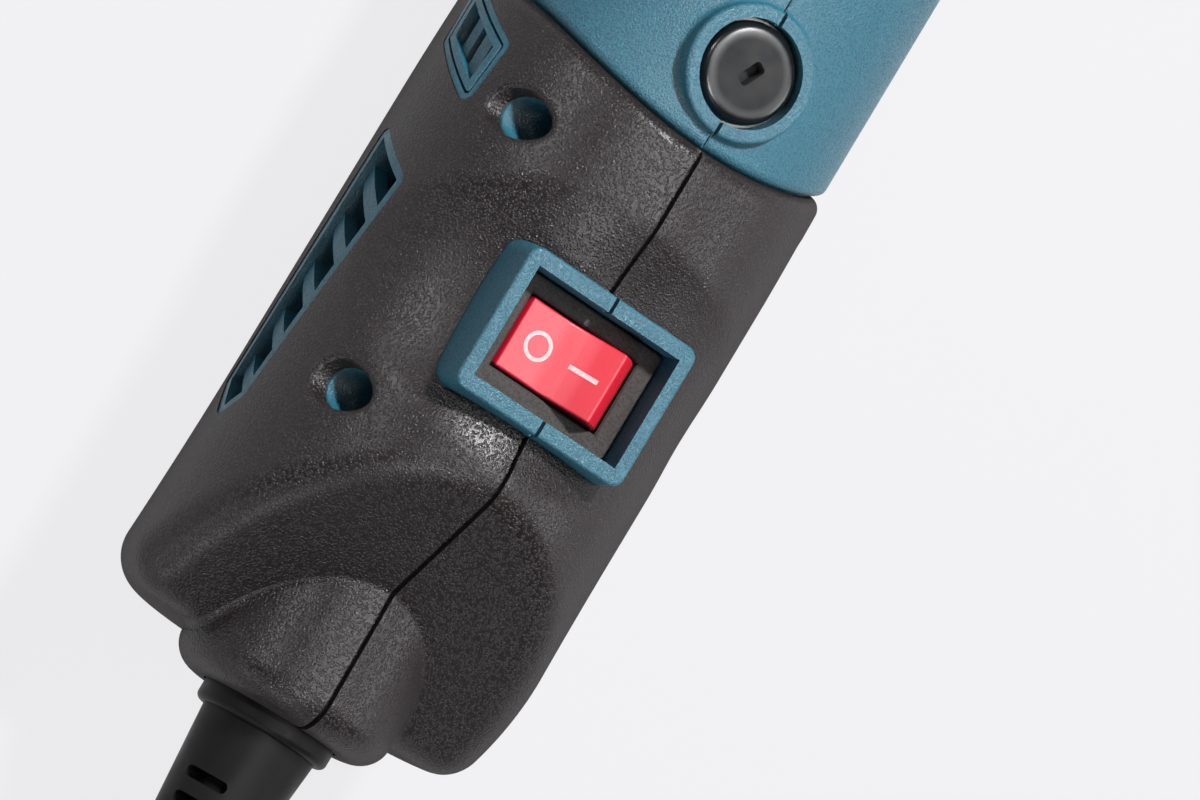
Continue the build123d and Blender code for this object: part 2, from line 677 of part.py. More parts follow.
def switch_hole():
    """Recess over the bezel and the cut-out for the switch body."""
    gap = 2 * BEZEL_GAP
    recess = block(span(SWITCH_X, BEZEL_X + gap), centred(BEZEL_Y + gap), (LEDGE_Z, FAR))
    cutout = block(span(SWITCH_X, SWITCH_BODY_X + gap), centred(SWITCH_BODY_Y + gap), (0, FAR))
    return recess + cutout


def screw_places():
    """Places of all housing screws as (x, z)."""
    grip = [(SWITCH_X + x, sign * (GRIP_R - sink)) for x, sink in GRIP_SCREWS for sign in (1, -1)]
    field = [(FIELD_SCREW_X, sign * FIELD_SCREW_Z) for sign in (1, -1)]
    return grip + field


def brush_boss():
    """Ring and tube in the shell that hold the upper brush gear."""
    body = along_z(BRUSH_X, RING_R, HOLDER_Z, RING_Z)
    return fillet(body.edges().filter_by(GeomType.CIRCLE).sort_by(Axis.Z)[-1], RING_ROUND)


def brush_bore():
    """Holes for the upper brush holder and its cap."""
    x_size = BRUSH_X_SIZE + 2 * (HOLDER_WALL + SLIDE_GAP + PRESS_GAP)
    y_size = BRUSH_Y_SIZE + 2 * (HOLDER_WALL + SLIDE_GAP + PRESS_GAP)
    holder = block(span(BRUSH_X, x_size), centred(y_size), (0, RING_Z))
    return holder + along_z(BRUSH_X, CAP_THREAD_R + CAP_THREAD_GAP, CAP_BOTTOM_Z - PRESS_GAP, FAR)


def rear_seat():
    """Tube and webs that hold the rear bearing."""
    x_range = span(REAR_BEARING_X, REAR_BEARING_WIDTH + 2 * SEAT_LIP)
    tube = ring(*x_range, REAR_BEARING_R - SEAT_LIP_DEEP, BUSH_R + SEAT_WALL)
    web = block(x_range, centred(WEB_THICK), (BUSH_R + SEAT_WALL / 2, CAVITY_R + SHELL_WALL / 2))
    seat = disc(*span(REAR_BEARING_X, REAR_BEARING_WIDTH + 2 * PRESS_GAP), BUSH_R + PRESS_GAP)
    return (tube + around(web, 4, 45)) - seat


def field_pads():
    """Four pads that hold the field core."""
    x_range = (CORE_REAR_X - PAD_OVERRUN, CORE_FRONT_X + PAD_OVERRUN)
    pad = sector(*x_range, FIELD_R - PAD_STOP, FRONT_WALL_R, 45 - PAD_HALF, 45 + PAD_HALF)
    core = disc(CORE_REAR_X - PRESS_GAP, CORE_FRONT_X + PRESS_GAP, FIELD_R + PRESS_GAP)
    return [copy - core for copy in around(pad, 4)]


def baffle_pads():
    """Ribs in the shell on both sides of the air baffle."""
    inner = baffle_radius() - BAFFLE_RIB
    gap = BAFFLE_THICK / 2 + PRESS_GAP
    ribs = []
    for rear in (BAFFLE_X - gap - BAFFLE_RIB_THICK, BAFFLE_X + gap):
        front = rear + BAFFLE_RIB_THICK
        ribs.append(ring(rear, front, inner, taper_radius(front) - SHELL_WALL / 2))
    return ribs


def nose_bores():
    """Bores of the nose for the front bearing, the spindle, the lock and its button."""
    seat = disc(*span(FRONT_BEARING_X, FRONT_BEARING_WIDTH + 2 * PRESS_GAP), FRONT_BEARING_R + PRESS_GAP)
    rear = disc(BULKHEAD_X - BULKHEAD, FRONT_BEARING_X, FRONT_BEARING_R - SEAT_LEDGE)
    front = disc(FRONT_BEARING_X, 0, NECK_BORE_R)
    pocket = along_z(LOCK_X, LOCK_FLANGE_R + SLIDE_GAP, LOCK_FLOOR_Z, LOCK_CEILING_Z + BOND_GAP)
    pin = along_z(LOCK_X, LOCK_PIN_R + SLIDE_GAP, 0, LOCK_CEILING_Z)
    button = along_z(LOCK_X, LOCK_BUTTON_R + SLIDE_GAP, LOCK_FLOOR_Z, FAR)
    return [seat, rear, front, pocket, pin, button]


def collar_bores():
    """Bores of the collar for the cord guard."""
    mouth = disc(COLLAR_END_X - GUARD_LENGTH, GUARD_LIP_X, GUARD_FLANGE_R + RUN_GAP)
    neck_r = GUARD_FLANGE_R - GUARD_LIP_DEEP + BOND_GAP
    neck = disc(GUARD_LIP_X - GUARD_LIP, GUARD_LIP_X + 2 * GUARD_LIP, neck_r)
    inner = disc(GUARD_LIP_X + GUARD_LIP, CLAMP_X, GUARD_FLANGE_R + GUARD_INNER_STEP + RUN_GAP)
    return [mouth, neck, inner]


def clamp_posts():
    """Posts and rib in the right shell that the cord clamp is screwed to."""
    reach, top = -CAVITY_R - SHELL_WALL / 2, CLAMP_Y - PRESS_GAP
    posts = [along_y(CLAMP_X, z, CLAMP_POST_R, reach, top) for z in (CLAMP_SCREW_Z, -CLAMP_SCREW_Z)]
    rib = block(span(CLAMP_X, CLAMP_POST_R), (reach, -GUARD_BORE_R), centred(2 * CLAMP_SCREW_Z))
    return posts + [rib]


def shell_outside():
    """Outer form of the hard shell, both halves."""
    front = front_form(0, EDGE_X - GRIP_EDGE_ROUND, NECK_X) & ahead_of_edge(0)
    lip = [edge for edge in front.edges() if at_front_edge(edge, 0) and at_radius(edge, FRONT_R)]
    front = fillet(lip, LIP_ROUND)
    ringed = front + brush_boss()
    feet = [edge for edge in new_edges(front, ringed) if at_radius(edge, FRONT_R)]
    upper = fillet(feet, RING_FOOT) & block(span(BRUSH_X, FAR), centred(FAR), (0, FAR))
    neck = disc(LOCK_X, NECK_FRONT_X, NECK_R)
    return grip_form(GRIP_THICK) + collar(GRIP_THICK) + upper + lower(upper) + neck


def parting_lines():
    """Cutters for the line where the shell halves meet: along the front shell and over the switch frame."""
    front = (EDGE_X - GRIP_EDGE_ROUND, NECK_X)
    skin = front_form(0, *front) - front_form(PARTING_DEPTH, *front)
    line = skin & block(front, centred(PARTING_WIDTH), centred(FAR))
    over_ring = block(span(BRUSH_X, 2 * RING_R), centred(PARTING_WIDTH), (FRONT_R - PARTING_DEPTH, FAR))
    notch = block(span(SWITCH_X, FAR), centred(FRAME_SEAM), span(FRAME_TOP_Z, 2 * FRAME_SEAM_DEEP))
    return [line, over_ring, lower(over_ring), notch]


def shells():
    """Left and right halves of the hard shell."""
    outside = shell_outside()
    hollow = grip_form(GRIP_THICK + SHELL_WALL) + front_form(SHELL_WALL, HOLLOW_FRONT_X, BULKHEAD_X)
    wall = outside - hollow - vent_openings() - outlet_slots()
    bosses = [along_y(x, z, BOSS_R, -CAVITY_R, CAVITY_R) & outside for x, z in screw_places()]
    ribs = [brush_boss(), lower(brush_boss()), rear_seat(), switch_frame(), *field_pads(), *baffle_pads()]
    bores = [brush_bore(), lower(brush_bore()), switch_hole(), *nose_bores(), *collar_bores()]
    shell = (wall + ribs + bosses + vent_frames()) - bores - parting_lines()
    left = split(shell, Plane.XZ, keep=Keep.BOTTOM)
    right = split(shell, Plane.XZ, keep=Keep.TOP) + [post & outside for post in clamp_posts()]
    for x, z in screw_places():
        left = left - [along_y(x, z, SCREW_R + SLIDE_GAP, 0, FAR), along_y(x, z, WELL_R, WELL_SEAT_Y, FAR)]
        right = right - along_y(x, z, SCREW_R + BOND_GAP, -SCREW_DEEP - SCREW_SPARE, 0)
    for z in (CLAMP_SCREW_Z, -CLAMP_SCREW_Z):
        deep = CLAMP_Y - CLAMP_SCREW_DEEP - SCREW_SPARE
        right = right - along_y(CLAMP_X, z, CLAMP_SCREW_R + BOND_GAP, deep, CLAMP_Y)
    return left, right


def grips():
    """Left and right halves of the soft grip."""
    body = grip_outside() - ahead_of_edge(BOND_GAP)
    front = [edge for edge in body.edges() if at_front_edge(edge, BOND_GAP)]
    body = fillet([edge for edge in front if radius_of(edge @ 0.5) > SHELL_R], GRIP_EDGE_ROUND)
    wells = [along_y(x, z, WELL_R + WELL_MOUTH_STEP, 0, FAR) for x, z in screw_places() if x < EDGE_X]
    drilled = body - wells
    rims = [edge for edge in new_edges(body, drilled) if edge.geom_type != GeomType.LINE]
    mouths = [edge for edge in rims if edge.center().Y > WELL_SEAT_Y]
    inner = grip_form(GRIP_THICK - BOND_GAP) + collar(GRIP_THICK - BOND_GAP)
    flanks = [through_y(vent_face(corners, -BOND_GAP)) for corners, rim_width, bars in vents()]
    openings = [*flanks, offset(frame_block(), BOND_GAP), collar_bores()[0]]
    seam = block((-FAR, FAR), centred(SEAM_WIDTH), centred(FAR))
    groove = seam & (grip_outside() - grip_form(SEAM_DEPTH) - collar(SEAM_DEPTH))
    skin = fillet(mouths, WELL_MOUTH_ROUND) - inner - openings - groove
    return split(skin, Plane.XZ, keep=Keep.BOTTOM), split(skin, Plane.XZ, keep=Keep.TOP)


def cord_guard():
    """Tapered rubber guard with bending slots, held by a lip of the shell."""
    tip = COLLAR_END_X - GUARD_LENGTH
    step = COLLAR_END_X - GUARD_STICK_OUT
    lip = (GUARD_LIP_X - PRESS_GAP, GUARD_LIP_X + GUARD_LIP + PRESS_GAP)
    end = lip[1] + GUARD_INNER_LENGTH
    flange, neck = GUARD_FLANGE_R, GUARD_FLANGE_R - GUARD_LIP_DEEP
    inner, cone, tip_r = flange + GUARD_INNER_STEP, flange - GUARD_CONE_STEP, GUARD_BORE_R + GUARD_TIP_WALL
    body = turned_outline(
        (tip, GUARD_BORE_R), (tip, tip_r), (step, cone), (step, flange), (lip[0], flange), (lip[0], neck),
        (lip[1], neck), (lip[1], inner), (end, inner), (end, GUARD_BORE_R),
    )
    circles = [edge for edge in body.edges().filter_by(GeomType.CIRCLE) if at_radius(edge, flange)]
    body = fillet(ShapeList(circles).sort_by(Axis.X)[0], GUARD_ROUND)
    core, half = GUARD_BORE_R + GUARD_CORE_WALL, GUARD_SLOT_ANGLE / 2
    slots = []
    for row in range(GUARD_ROWS):
        x = COLLAR_END_X - GUARD_SLOT_START - row * GUARD_SLOT_PITCH
        slot = sector(x - GUARD_SLOT, x, core, COLLAR_R, 45 - half, 45 + half)
        sides = [edge for edge in slot.edges().filter_by(GeomType.LINE) if abs((edge % 0.5).X) < 0.01]
        slots += around(fillet(sides, GUARD_SLOT_ROUND), 4)
    return body - slots


def cord_clamp():
    """Bar that holds the cord down on its posts."""
    z_size = 2 * (CLAMP_SCREW_Z + CLAMP_OVERHANG)
    bar = block(span(CLAMP_X, CLAMP_X_SIZE), (CLAMP_Y, CLAMP_Y + CLAMP_THICK), centred(z_size))
    holes = [along_y(CLAMP_X, z, CLAMP_SCREW_R + SLIDE_GAP, 0, FAR) for z in (CLAMP_SCREW_Z, -CLAMP_SCREW_Z)]
    return bar - disc(CLAMP_X - CLAMP_X_SIZE, CLAMP_X + CLAMP_X_SIZE, GUARD_BORE_R) - holes


def screw(x, z, radius, tip_y, seat_y, head_r, head):
    """Pan-head screw along Y."""
    top = along_y(x, z, head_r, seat_y, seat_y + head)
    top = fillet(top.edges().filter_by(GeomType.CIRCLE).sort_by(Axis.Y)[-1], head / 3)
    return along_y(x, z, radius, tip_y, seat_y + head / 2) + top


def cord_clamp_screws():
    """The two screws of the cord clamp."""
    seat = CLAMP_Y + CLAMP_THICK
    tip = CLAMP_Y - CLAMP_SCREW_DEEP
    one = screw(CLAMP_X, CLAMP_SCREW_Z, CLAMP_SCREW_R, tip, seat, CLAMP_HEAD_R, CLAMP_HEAD)
    return Compound([one.solid(), lower(one).solid()])


def housing_screws():
    """The screws that join the two shell halves."""
    sizes = (SCREW_R, -SCREW_DEEP, WELL_SEAT_Y, SCREW_HEAD_R, SCREW_HEAD)
    return Compound([screw(x, z, *sizes).solid() for x, z in screw_places()])


def switch_body():
    """Switch housing with its bezel, rocker pocket and pivot holes."""
    bezel = Pos(SWITCH_X, 0, LEDGE_Z) * extrude(RectangleRounded(BEZEL_X, BEZEL_Y, BEZEL_ROUND), BEZEL_THICK)
    bezel = fillet(bezel.edges().group_by(Axis.Z)[-1], BEZEL_EDGE)
    body = block(span(SWITCH_X, SWITCH_BODY_X), centred(SWITCH_BODY_Y), (SWITCH_FOOT_Z, BEZEL_Z - BEZEL_EDGE))
    tilt = radians(ROCKER_TILT)
    corner = sqrt(ROCKER_SWING_R**2 - ROCKER_BELOW**2)
    floor = PIVOT_Z - ROCKER_BELOW * cos(tilt) - corner * sin(tilt) - RUN_GAP
    slope, swing, wide = BEZEL_SLOPE, ROCKER_SWING_R + RUN_GAP, ROCKER_X + 2 * RUN_GAP
    long = 2 * sqrt(swing**2 - (PIVOT_DEPTH - slope)**2)
    pocket = Pos(0, 0, PIVOT_Z) * disc(*span(SWITCH_X, wide), swing)
    pocket = pocket & block(span(SWITCH_X, wide), centred(FAR), (floor, FAR))
    mouth = loft([
        Pos(SWITCH_X, 0, BEZEL_Z - slope) * Rectangle(wide, long),
        Pos(SWITCH_X, 0, BEZEL_Z + slope) * Rectangle(wide + 4 * slope, long + 4 * slope),
    ])
    axle = disc(*span(SWITCH_X, ROCKER_X + 2 * PIVOT_LENGTH + 2 * RUN_GAP), PIVOT_R + PIVOT_GAP)
    return (bezel + body) - [pocket, mouth, Pos(0, 0, PIVOT_Z) * axle]


def rocker():
    """Rocker with a hollow vee top, tipped to its off end."""
    low = sqrt(ROCKER_SWING_R**2 - ROCKER_BELOW**2)
    tips = [(-ROCKER_HALF, ROCKER_TIP), (ROCKER_HALF, ROCKER_TIP)]
    edges = [
        Line(tips[0], (0, ROCKER_CENTRE)),
        Line((0, ROCKER_CENTRE), tips[1]),
        ThreePointArc(tips[1], (ROCKER_SWING_R, 0), (low, -ROCKER_BELOW)),
        Line((low, -ROCKER_BELOW), (-low, -ROCKER_BELOW)),
        ThreePointArc((-low, -ROCKER_BELOW), (-ROCKER_SWING_R, 0), tips[0]),
    ]
    face = make_face([Plane.YZ * edge for edge in edges])
    body = Pos(-ROCKER_X / 2, 0, 0) * extrude(face, ROCKER_X, dir=(1, 0, 0))
    middle = Vector(0, 0, ROCKER_CENTRE)
    body = fillet([e for e in body.edges() if (e.center() - middle).length < 0.01], ROCKER_VALLEY)
    body = fillet([e for e in body.edges() if e.center().Z > 0.5 and not lies_along_x(e)], ROCKER_ROUND)
    pins = disc(*centred(ROCKER_X + 2 * PIVOT_LENGTH), PIVOT_R)
    return Pos(SWITCH_X, 0, PIVOT_Z) * Rot(-ROCKER_TILT, 0, 0) * (body + pins)


def lies_along_x(edge):
    """Whether an edge is a straight line along X away from the rocker's tips."""
    return abs((edge % 0.5).X) > 0.99 and abs(edge.center().Y) < ROCKER_HALF - 0.5


def switch_terminals():
    """The two flat terminals under the switch."""
    z_range = (SWITCH_FOOT_Z - TERMINAL_LENGTH, SWITCH_FOOT_Z)
    blade = block(span(SWITCH_X, TERMINAL_WIDTH), span(TERMINAL_Y, TERMINAL_THICK), z_range)
    return Compound([blade.solid(), mirror(blade, about=Plane.XZ).solid()])


def lead_wires():
    """Insulated leads from the switch to the field coils."""
    start_x = SWITCH_X + TERMINAL_WIDTH / 2 + BOND_GAP
    end_x = CORE_REAR_X - COIL_OVERHANG - BOND_GAP
    coil_y = (FIELD_BORE_R + FIELD_YOKE_R) / 2 + LEAD_OUT
    z = SWITCH_FOOT_Z - TERMINAL_LENGTH + 2 * LEAD_R
    bends = [(start_x + LEAD_RUN, TERMINAL_Y, z), (start_x + 2 * LEAD_RUN, coil_y, z)]
    path = FilletPolyline((start_x, TERMINAL_Y, z), *bends, (end_x, coil_y, z), radius=LEAD_BEND)
    lead = sweep(Plane(path @ 0, z_dir=path % 0) * Circle(LEAD_R), path)
    return Compound([lead.solid(), mirror(lead, about=Plane.XZ).solid()])


def field_core():
    """Field lamination stack with its bore and two winding windows."""
    x_range = (CORE_REAR_X, CORE_FRONT_X)
    stack = disc(*x_range, FIELD_R) & block(x_range, centred(FAR), centred(2 * (FIELD_R - FIELD_FLAT_CUT)))
    window = sector(*x_range, 0, FIELD_YOKE_R, -WINDOW_HALF, WINDOW_HALF)
    return stack - disc(*x_range, FIELD_BORE_R) - [window, lower(window)]


def left_field_coil():
    """Saddle coil round the left pole."""
    ends = (CORE_REAR_X - COIL_OVERHANG, CORE_FRONT_X + COIL_OVERHANG)
    r_range = (FIELD_BORE_R + COIL_GAP, FIELD_YOKE_R - COIL_GAP)
    ring_part = sector(*ends, *r_range, COIL_PART, 180 - COIL_PART)
    side = WINDOW_HALF - COIL_PART / 2
    pole = sector(CORE_REAR_X - COIL_GAP, CORE_FRONT_X + COIL_GAP, 0, FIELD_R, side, 180 - side)
    return ring_part - pole


def armature_shaft():
    """Stepped motor shaft with the hollow spindle end."""
    rear, end = BRUSH_X - SHAFT_REAR, -COLLET_HEAD - COLLET_SEAT
    journal = REAR_BEARING_X + REAR_BEARING_WIDTH / 2 + PRESS_GAP
    shoulder = FRONT_BEARING_X - FRONT_BEARING_WIDTH / 2 - PRESS_GAP
    rear_r, front_r = REAR_BEARING_BORE_R - PRESS_GAP, FRONT_SHAFT_R - PRESS_GAP
    body = turned_outline(
        (rear, 0), (rear, rear_r), (journal, rear_r), (journal, SHAFT_R), (shoulder, SHAFT_R),
        (shoulder, front_r), (end, front_r), (end, 0),
    )
    return body - disc(-COLLET_LENGTH - BOND_GAP, 0, COLLET_BODY_R + BOND_GAP)


def armature_core():
    """Slotted armature lamination stack."""
    x_range = (CORE_REAR_X, CORE_FRONT_X)
    slot = block(x_range, centred(CORE_SLOT_WIDTH), (CORE_SLOT_ROOT, 2 * CORE_R))
    return ring(*x_range, SHAFT_R + PRESS_GAP, CORE_R) - around(slot, CORE_SLOTS)


def armature_winding():
    """Winding in the slots with its two end turns."""
    x_range = (CORE_REAR_X - WINDING_OVERHANG / 2, CORE_FRONT_X + WINDING_OVERHANG / 2)
    depth = (CORE_SLOT_ROOT + BOND_GAP, WINDING_R - WINDING_ROUND / 2)
    bar = block(x_range, centred(CORE_SLOT_WIDTH - 2 * BOND_GAP), depth)
    turns = []
    for x in (CORE_REAR_X - WINDING_OVERHANG, CORE_FRONT_X + BOND_GAP):
        end = ring(x, x + WINDING_OVERHANG - BOND_GAP, SHAFT_R + WINDING_LIFT, WINDING_R)
        rims = [edge for edge in end.edges().filter_by(GeomType.CIRCLE) if at_radius(edge, WINDING_R)]
        turns.append(fillet(rims, WINDING_ROUND))
    return turns[0] + turns[1] + around(bar, CORE_SLOTS)


def commutator():
    """Copper commutator with its slits."""
    x_range = span(BRUSH_X, COMMUTATOR_LENGTH)
    slit = block(x_range, centred(COMMUTATOR_SLIT), (COMMUTATOR_R - COMMUTATOR_SLIT_DEEP, 2 * COMMUTATOR_R))
    return ring(*x_range, SHAFT_R + PRESS_GAP, COMMUTATOR_R) - around(slit, COMMUTATOR_BARS)


def bearing(x, bore, outer, width):
    """Shielded ball bearing: outer ring, inner ring and balls."""
    pitch = (bore + outer) / 2
    ball = BALL_SHARE * (outer - bore)
    land = ball / 2
    x_range = span(x, width)
    groove = Plane((x, 0, 0), z_dir=(1, 0, 0)) * Torus(pitch, ball + BOND_GAP)
    shield_x = [(x_range[0], x_range[0] + SHIELD), (x_range[1] - SHIELD, x_range[1])]
    shields = [ring(*place, pitch - land + RUN_GAP, pitch + land + SHIELD) for place in shield_x]
    outer_ring = (ring(*x_range, pitch + land, outer) - groove) + shields
    inner_ring = ring(*x_range, bore, pitch - land) - groove
    balls = Compound([one.solid() for one in around(Pos(x, 0, pitch) * Sphere(ball), BALLS)])
    return outer_ring, inner_ring, balls


def rear_bearing_bush():
    """Rubber bush round the rear bearing."""
    return ring(*span(REAR_BEARING_X, REAR_BEARING_WIDTH), REAR_BEARING_R + PRESS_GAP, BUSH_R)


def cooling_fan():
    """Radial fan: hub, plate and swept blades."""
    front = FAN_X + FAN_LENGTH
    tip = taper_radius(front) - SHELL_WALL - FAN_CLEAR
    hub = ring(FAN_X, front, SHAFT_R + PRESS_GAP, FAN_HUB_R)
    plate = ring(front - FAN_PLATE, front, SHAFT_R + PRESS_GAP, tip)
    reach = [(FAN_HUB_R - FAN_HUB_SINK, 0), ((FAN_HUB_R + tip) / 2, FAN_BEND * FAN_SWEEP), (tip, FAN_SWEEP)]
    near = [polar(radius, angle) for radius, angle in reach]
    far = [polar(radius, angle + FAN_BLADE_ANGLE) for radius, angle in reach]
    sides = [ThreePointArc(*near), Line(near[2], far[2]), ThreePointArc(*far), Line(far[0], near[0])]
    blade = extrude(make_face([Plane.YZ * side for side in sides]), FAN_LENGTH - FAN_PLATE, dir=(1, 0, 0))
    return hub + plate + around(Pos(FAN_X, 0, 0) * blade, FAN_BLADES)


def polar(radius, angle):
    """Point in the YZ plane at a radius and an angle in degrees."""
    return (radius * cos(radians(angle)), radius * sin(radians(angle)))


def air_baffle():
    """Ring that leads the air into the fan."""
    return ring(*span(BAFFLE_X, BAFFLE_THICK), BAFFLE_IN_R, baffle_radius())


def upper_brush_holder():
    """Brass tube that guides the upper brush."""
    x_in, y_in = BRUSH_X_SIZE + 2 * SLIDE_GAP, BRUSH_Y_SIZE + 2 * SLIDE_GAP
    z_range = (HOLDER_Z, CAP_BOTTOM_Z - PRESS_GAP)
    outer = block(span(BRUSH_X, x_in + 2 * HOLDER_WALL), centred(y_in + 2 * HOLDER_WALL), z_range)
    return outer - block(span(BRUSH_X, x_in), centred(y_in), z_range)


def upper_brush():
    """Carbon brush with its face worn to the commutator."""
    body = block(span(BRUSH_X, BRUSH_X_SIZE), centred(BRUSH_Y_SIZE), (0, BRUSH_TOP_Z))
    return body - disc(*span(BRUSH_X, 2 * BRUSH_X_SIZE), BRUSH_TIP_Z)


def upper_brush_spring():
    """Coil spring between the brush and its cap."""
    spring = coil_spring(BRUSH_SPRING_R, SPRING_WIRE, SPRING_TURNS, CAP_BOTTOM_Z - BRUSH_TOP_Z)
    return Pos(BRUSH_X, 0, BRUSH_TOP_Z) * spring


def upper_brush_cap():
    """Screwed cap over the brush, with a short driver slot."""
    head = along_z(BRUSH_X, CAP_R, CAP_Z - CAP_HEAD, CAP_Z)
    head = fillet(head.edges().filter_by(GeomType.CIRCLE).sort_by(Axis.Z)[-1], CAP_ROUND)
    thread = along_z(BRUSH_X, CAP_THREAD_R, CAP_BOTTOM_Z, CAP_Z - CAP_HEAD)
    outline = Rot(0, 0, -CAP_SLOT_TURN) * RectangleRounded(CAP_SLOT, CAP_SLOT_WIDTH, CAP_SLOT_ROUND)
    return head + thread - Pos(BRUSH_X, 0, CAP_Z) * extrude(outline, CAP_SLOT_DEPTH, both=True)


def collet():
    """Slit collet with a tapered head."""
    shoulder = -COLLET_HEAD
    body = turned_outline(
        (-COLLET_LENGTH, COLLET_BORE_R), (-COLLET_LENGTH, COLLET_BODY_R), (shoulder, COLLET_BODY_R),
        (shoulder, COLLET_HEAD_R), (0, COLLET_MOUTH_R), (0, COLLET_BORE_R),
    )
    slit = block((-COLLET_SLIT_LENGTH, 0), centred(COLLET_SLIT), (0, FAR))
    return body - around(slit, 4, 45)


def collet_nut():
    """Six-sided nut that closes the collet."""
    front, rear = -NUT_FRONT, -NUT_FRONT - NUT_LENGTH
    hexagon = Plane((rear, 0, 0), z_dir=(1, 0, 0)) * RegularPolygon(NUT_FLATS / 2, 6, major_radius=False)
    body = extrude(hexagon, NUT_LENGTH - NUT_CONE)
    step = front - NUT_CONE
    cone = turned_outline((step, 0), (step, NUT_FLATS / 2), (front, NUT_FACE_R), (front, 0))
    fall = (COLLET_HEAD_R - COLLET_MOUTH_R) / COLLET_HEAD
    seat = -COLLET_HEAD - RUN_GAP
    clear = COLLET_MOUTH_R + NUT_SEAT_GAP
    thread = FRONT_SHAFT_R + BOND_GAP
    bore = turned_outline(
        (rear, 0), (rear, thread), (seat, thread), (seat, clear - seat * fall),
        (front, clear - front * fall), (front, 0),
    )
    return body + cone - bore


def nose_cap():
    """Ribbed ring screwed over the neck of both shell halves."""
    front = NOSE_CAP_X + CAP_NOSE_LENGTH
    inner = NECK_FRONT_X + PRESS_GAP
    outside, thread = NECK_R + CAP_NOSE_WALL, NECK_R + PRESS_GAP
    hole = NUT_FLATS / sqrt(3) + NUT_TO_CAP
    body = turned_outline(
        (NOSE_CAP_X, thread), (NOSE_CAP_X, outside), (front, outside - CAP_NOSE_TAPER),
        (front, hole), (inner, hole), (inner, thread),
    )
    groove = disc(NOSE_CAP_X + CAP_NOSE_RIB_BACK, front, CAP_NOSE_RIB_R)
    return body - around(Pos(0, 0, outside + CAP_NOSE_RIB_R / 2) * groove, CAP_NOSE_RIBS)


def lock_collar():
    """Steel ring pressed on the spindle, with four holes for the lock pin."""
    body = ring(*span(LOCK_X, LOCK_COLLAR_LENGTH), FRONT_SHAFT_R + PRESS_GAP, LOCK_COLLAR_R)
    return body - around(along_z(LOCK_X, LOCK_PIN_R + RUN_GAP, 0, 2 * LOCK_COLLAR_R), 4)


def lock_button():
    """Push button of the spindle lock, with its flange."""
    top = NOSE_R + LOCK_STAND
    button = along_z(LOCK_X, LOCK_BUTTON_R, LOCK_FLANGE_Z, top)
    button = fillet(button.edges().filter_by(GeomType.CIRCLE).sort_by(Axis.Z)[-1], LOCK_ROUND)
    flange = along_z(LOCK_X, LOCK_FLANGE_R, LOCK_FLANGE_Z, LOCK_CEILING_Z)
    return button + flange - along_z(LOCK_X, LOCK_PIN_R + PRESS_GAP, 0, LOCK_CEILING_Z)


def lock_pin():
    """Steel pin carried by the lock button."""
    return along_z(LOCK_X, LOCK_PIN_R, LOCK_COLLAR_R + LOCK_REST, LOCK_CEILING_Z - PRESS_GAP)


def lock_spring():
    """Coil spring under the lock button's flange."""
    radius, length = LOCK_PIN_R + LOCK_SPRING_OUT, LOCK_FLANGE_Z - LOCK_FLOOR_Z
    return Pos(LOCK_X, 0, LOCK_FLOOR_Z) * coil_spring(radius, SPRING_WIRE, SPRING_TURNS, length)


def parts():
    """Every node of the tool by name."""
    left_shell, right_shell = shells()
    left_grip, right_grip = grips()
    front = bearing(FRONT_BEARING_X, FRONT_BEARING_BORE_R, FRONT_BEARING_R, FRONT_BEARING_WIDTH)
    rear = bearing(REAR_BEARING_X, REAR_BEARING_BORE_R, REAR_BEARING_R, REAR_BEARING_WIDTH)
    coil = left_field_coil()
    made = {
        "left_shell": left_shell,
        "right_shell": right_shell,
        "left_grip": left_grip,
        "right_grip": right_grip,
        "left_field_coil": coil,
        "right_field_coil": mirror(coil, about=Plane.XZ),
    }
    for place, bearing_parts in (("front", front), ("rear", rear)):
        for kind, piece in zip(("outer", "inner", "balls"), bearing_parts):
            made[f"{place}_bearing_{kind}"] = piece
    plain = [
        housing_screws, nose_cap, cord_guard, cord_clamp, cord_clamp_screws, switch_body, switch_terminals,
        rocker, lead_wires, field_core, armature_shaft, armature_core, armature_winding, commutator,
        cooling_fan, air_baffle, rear_bearing_bush, collet, collet_nut, lock_collar, lock_button, lock_pin,
        lock_spring,
    ]
    for maker in plain:
        made[maker.__name__] = maker()
    for maker in (upper_brush_holder, upper_brush, upper_brush_spring, upper_brush_cap):
        piece = maker()
        made[maker.__name__] = piece
        made[maker.__name__.replace("upper", "lower")] = lower(piece)
    return made


os.makedirs("parts", exist_ok=True)
for node, shape in parts().items():
    export_step(shape, f"parts/{node}.step")
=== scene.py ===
import json
import logging
import math
from dataclasses import dataclass, field
from enum import Enum
from typing import Any

import bmesh
import bpy
from mathutils import Matrix, Quaternion, Vector


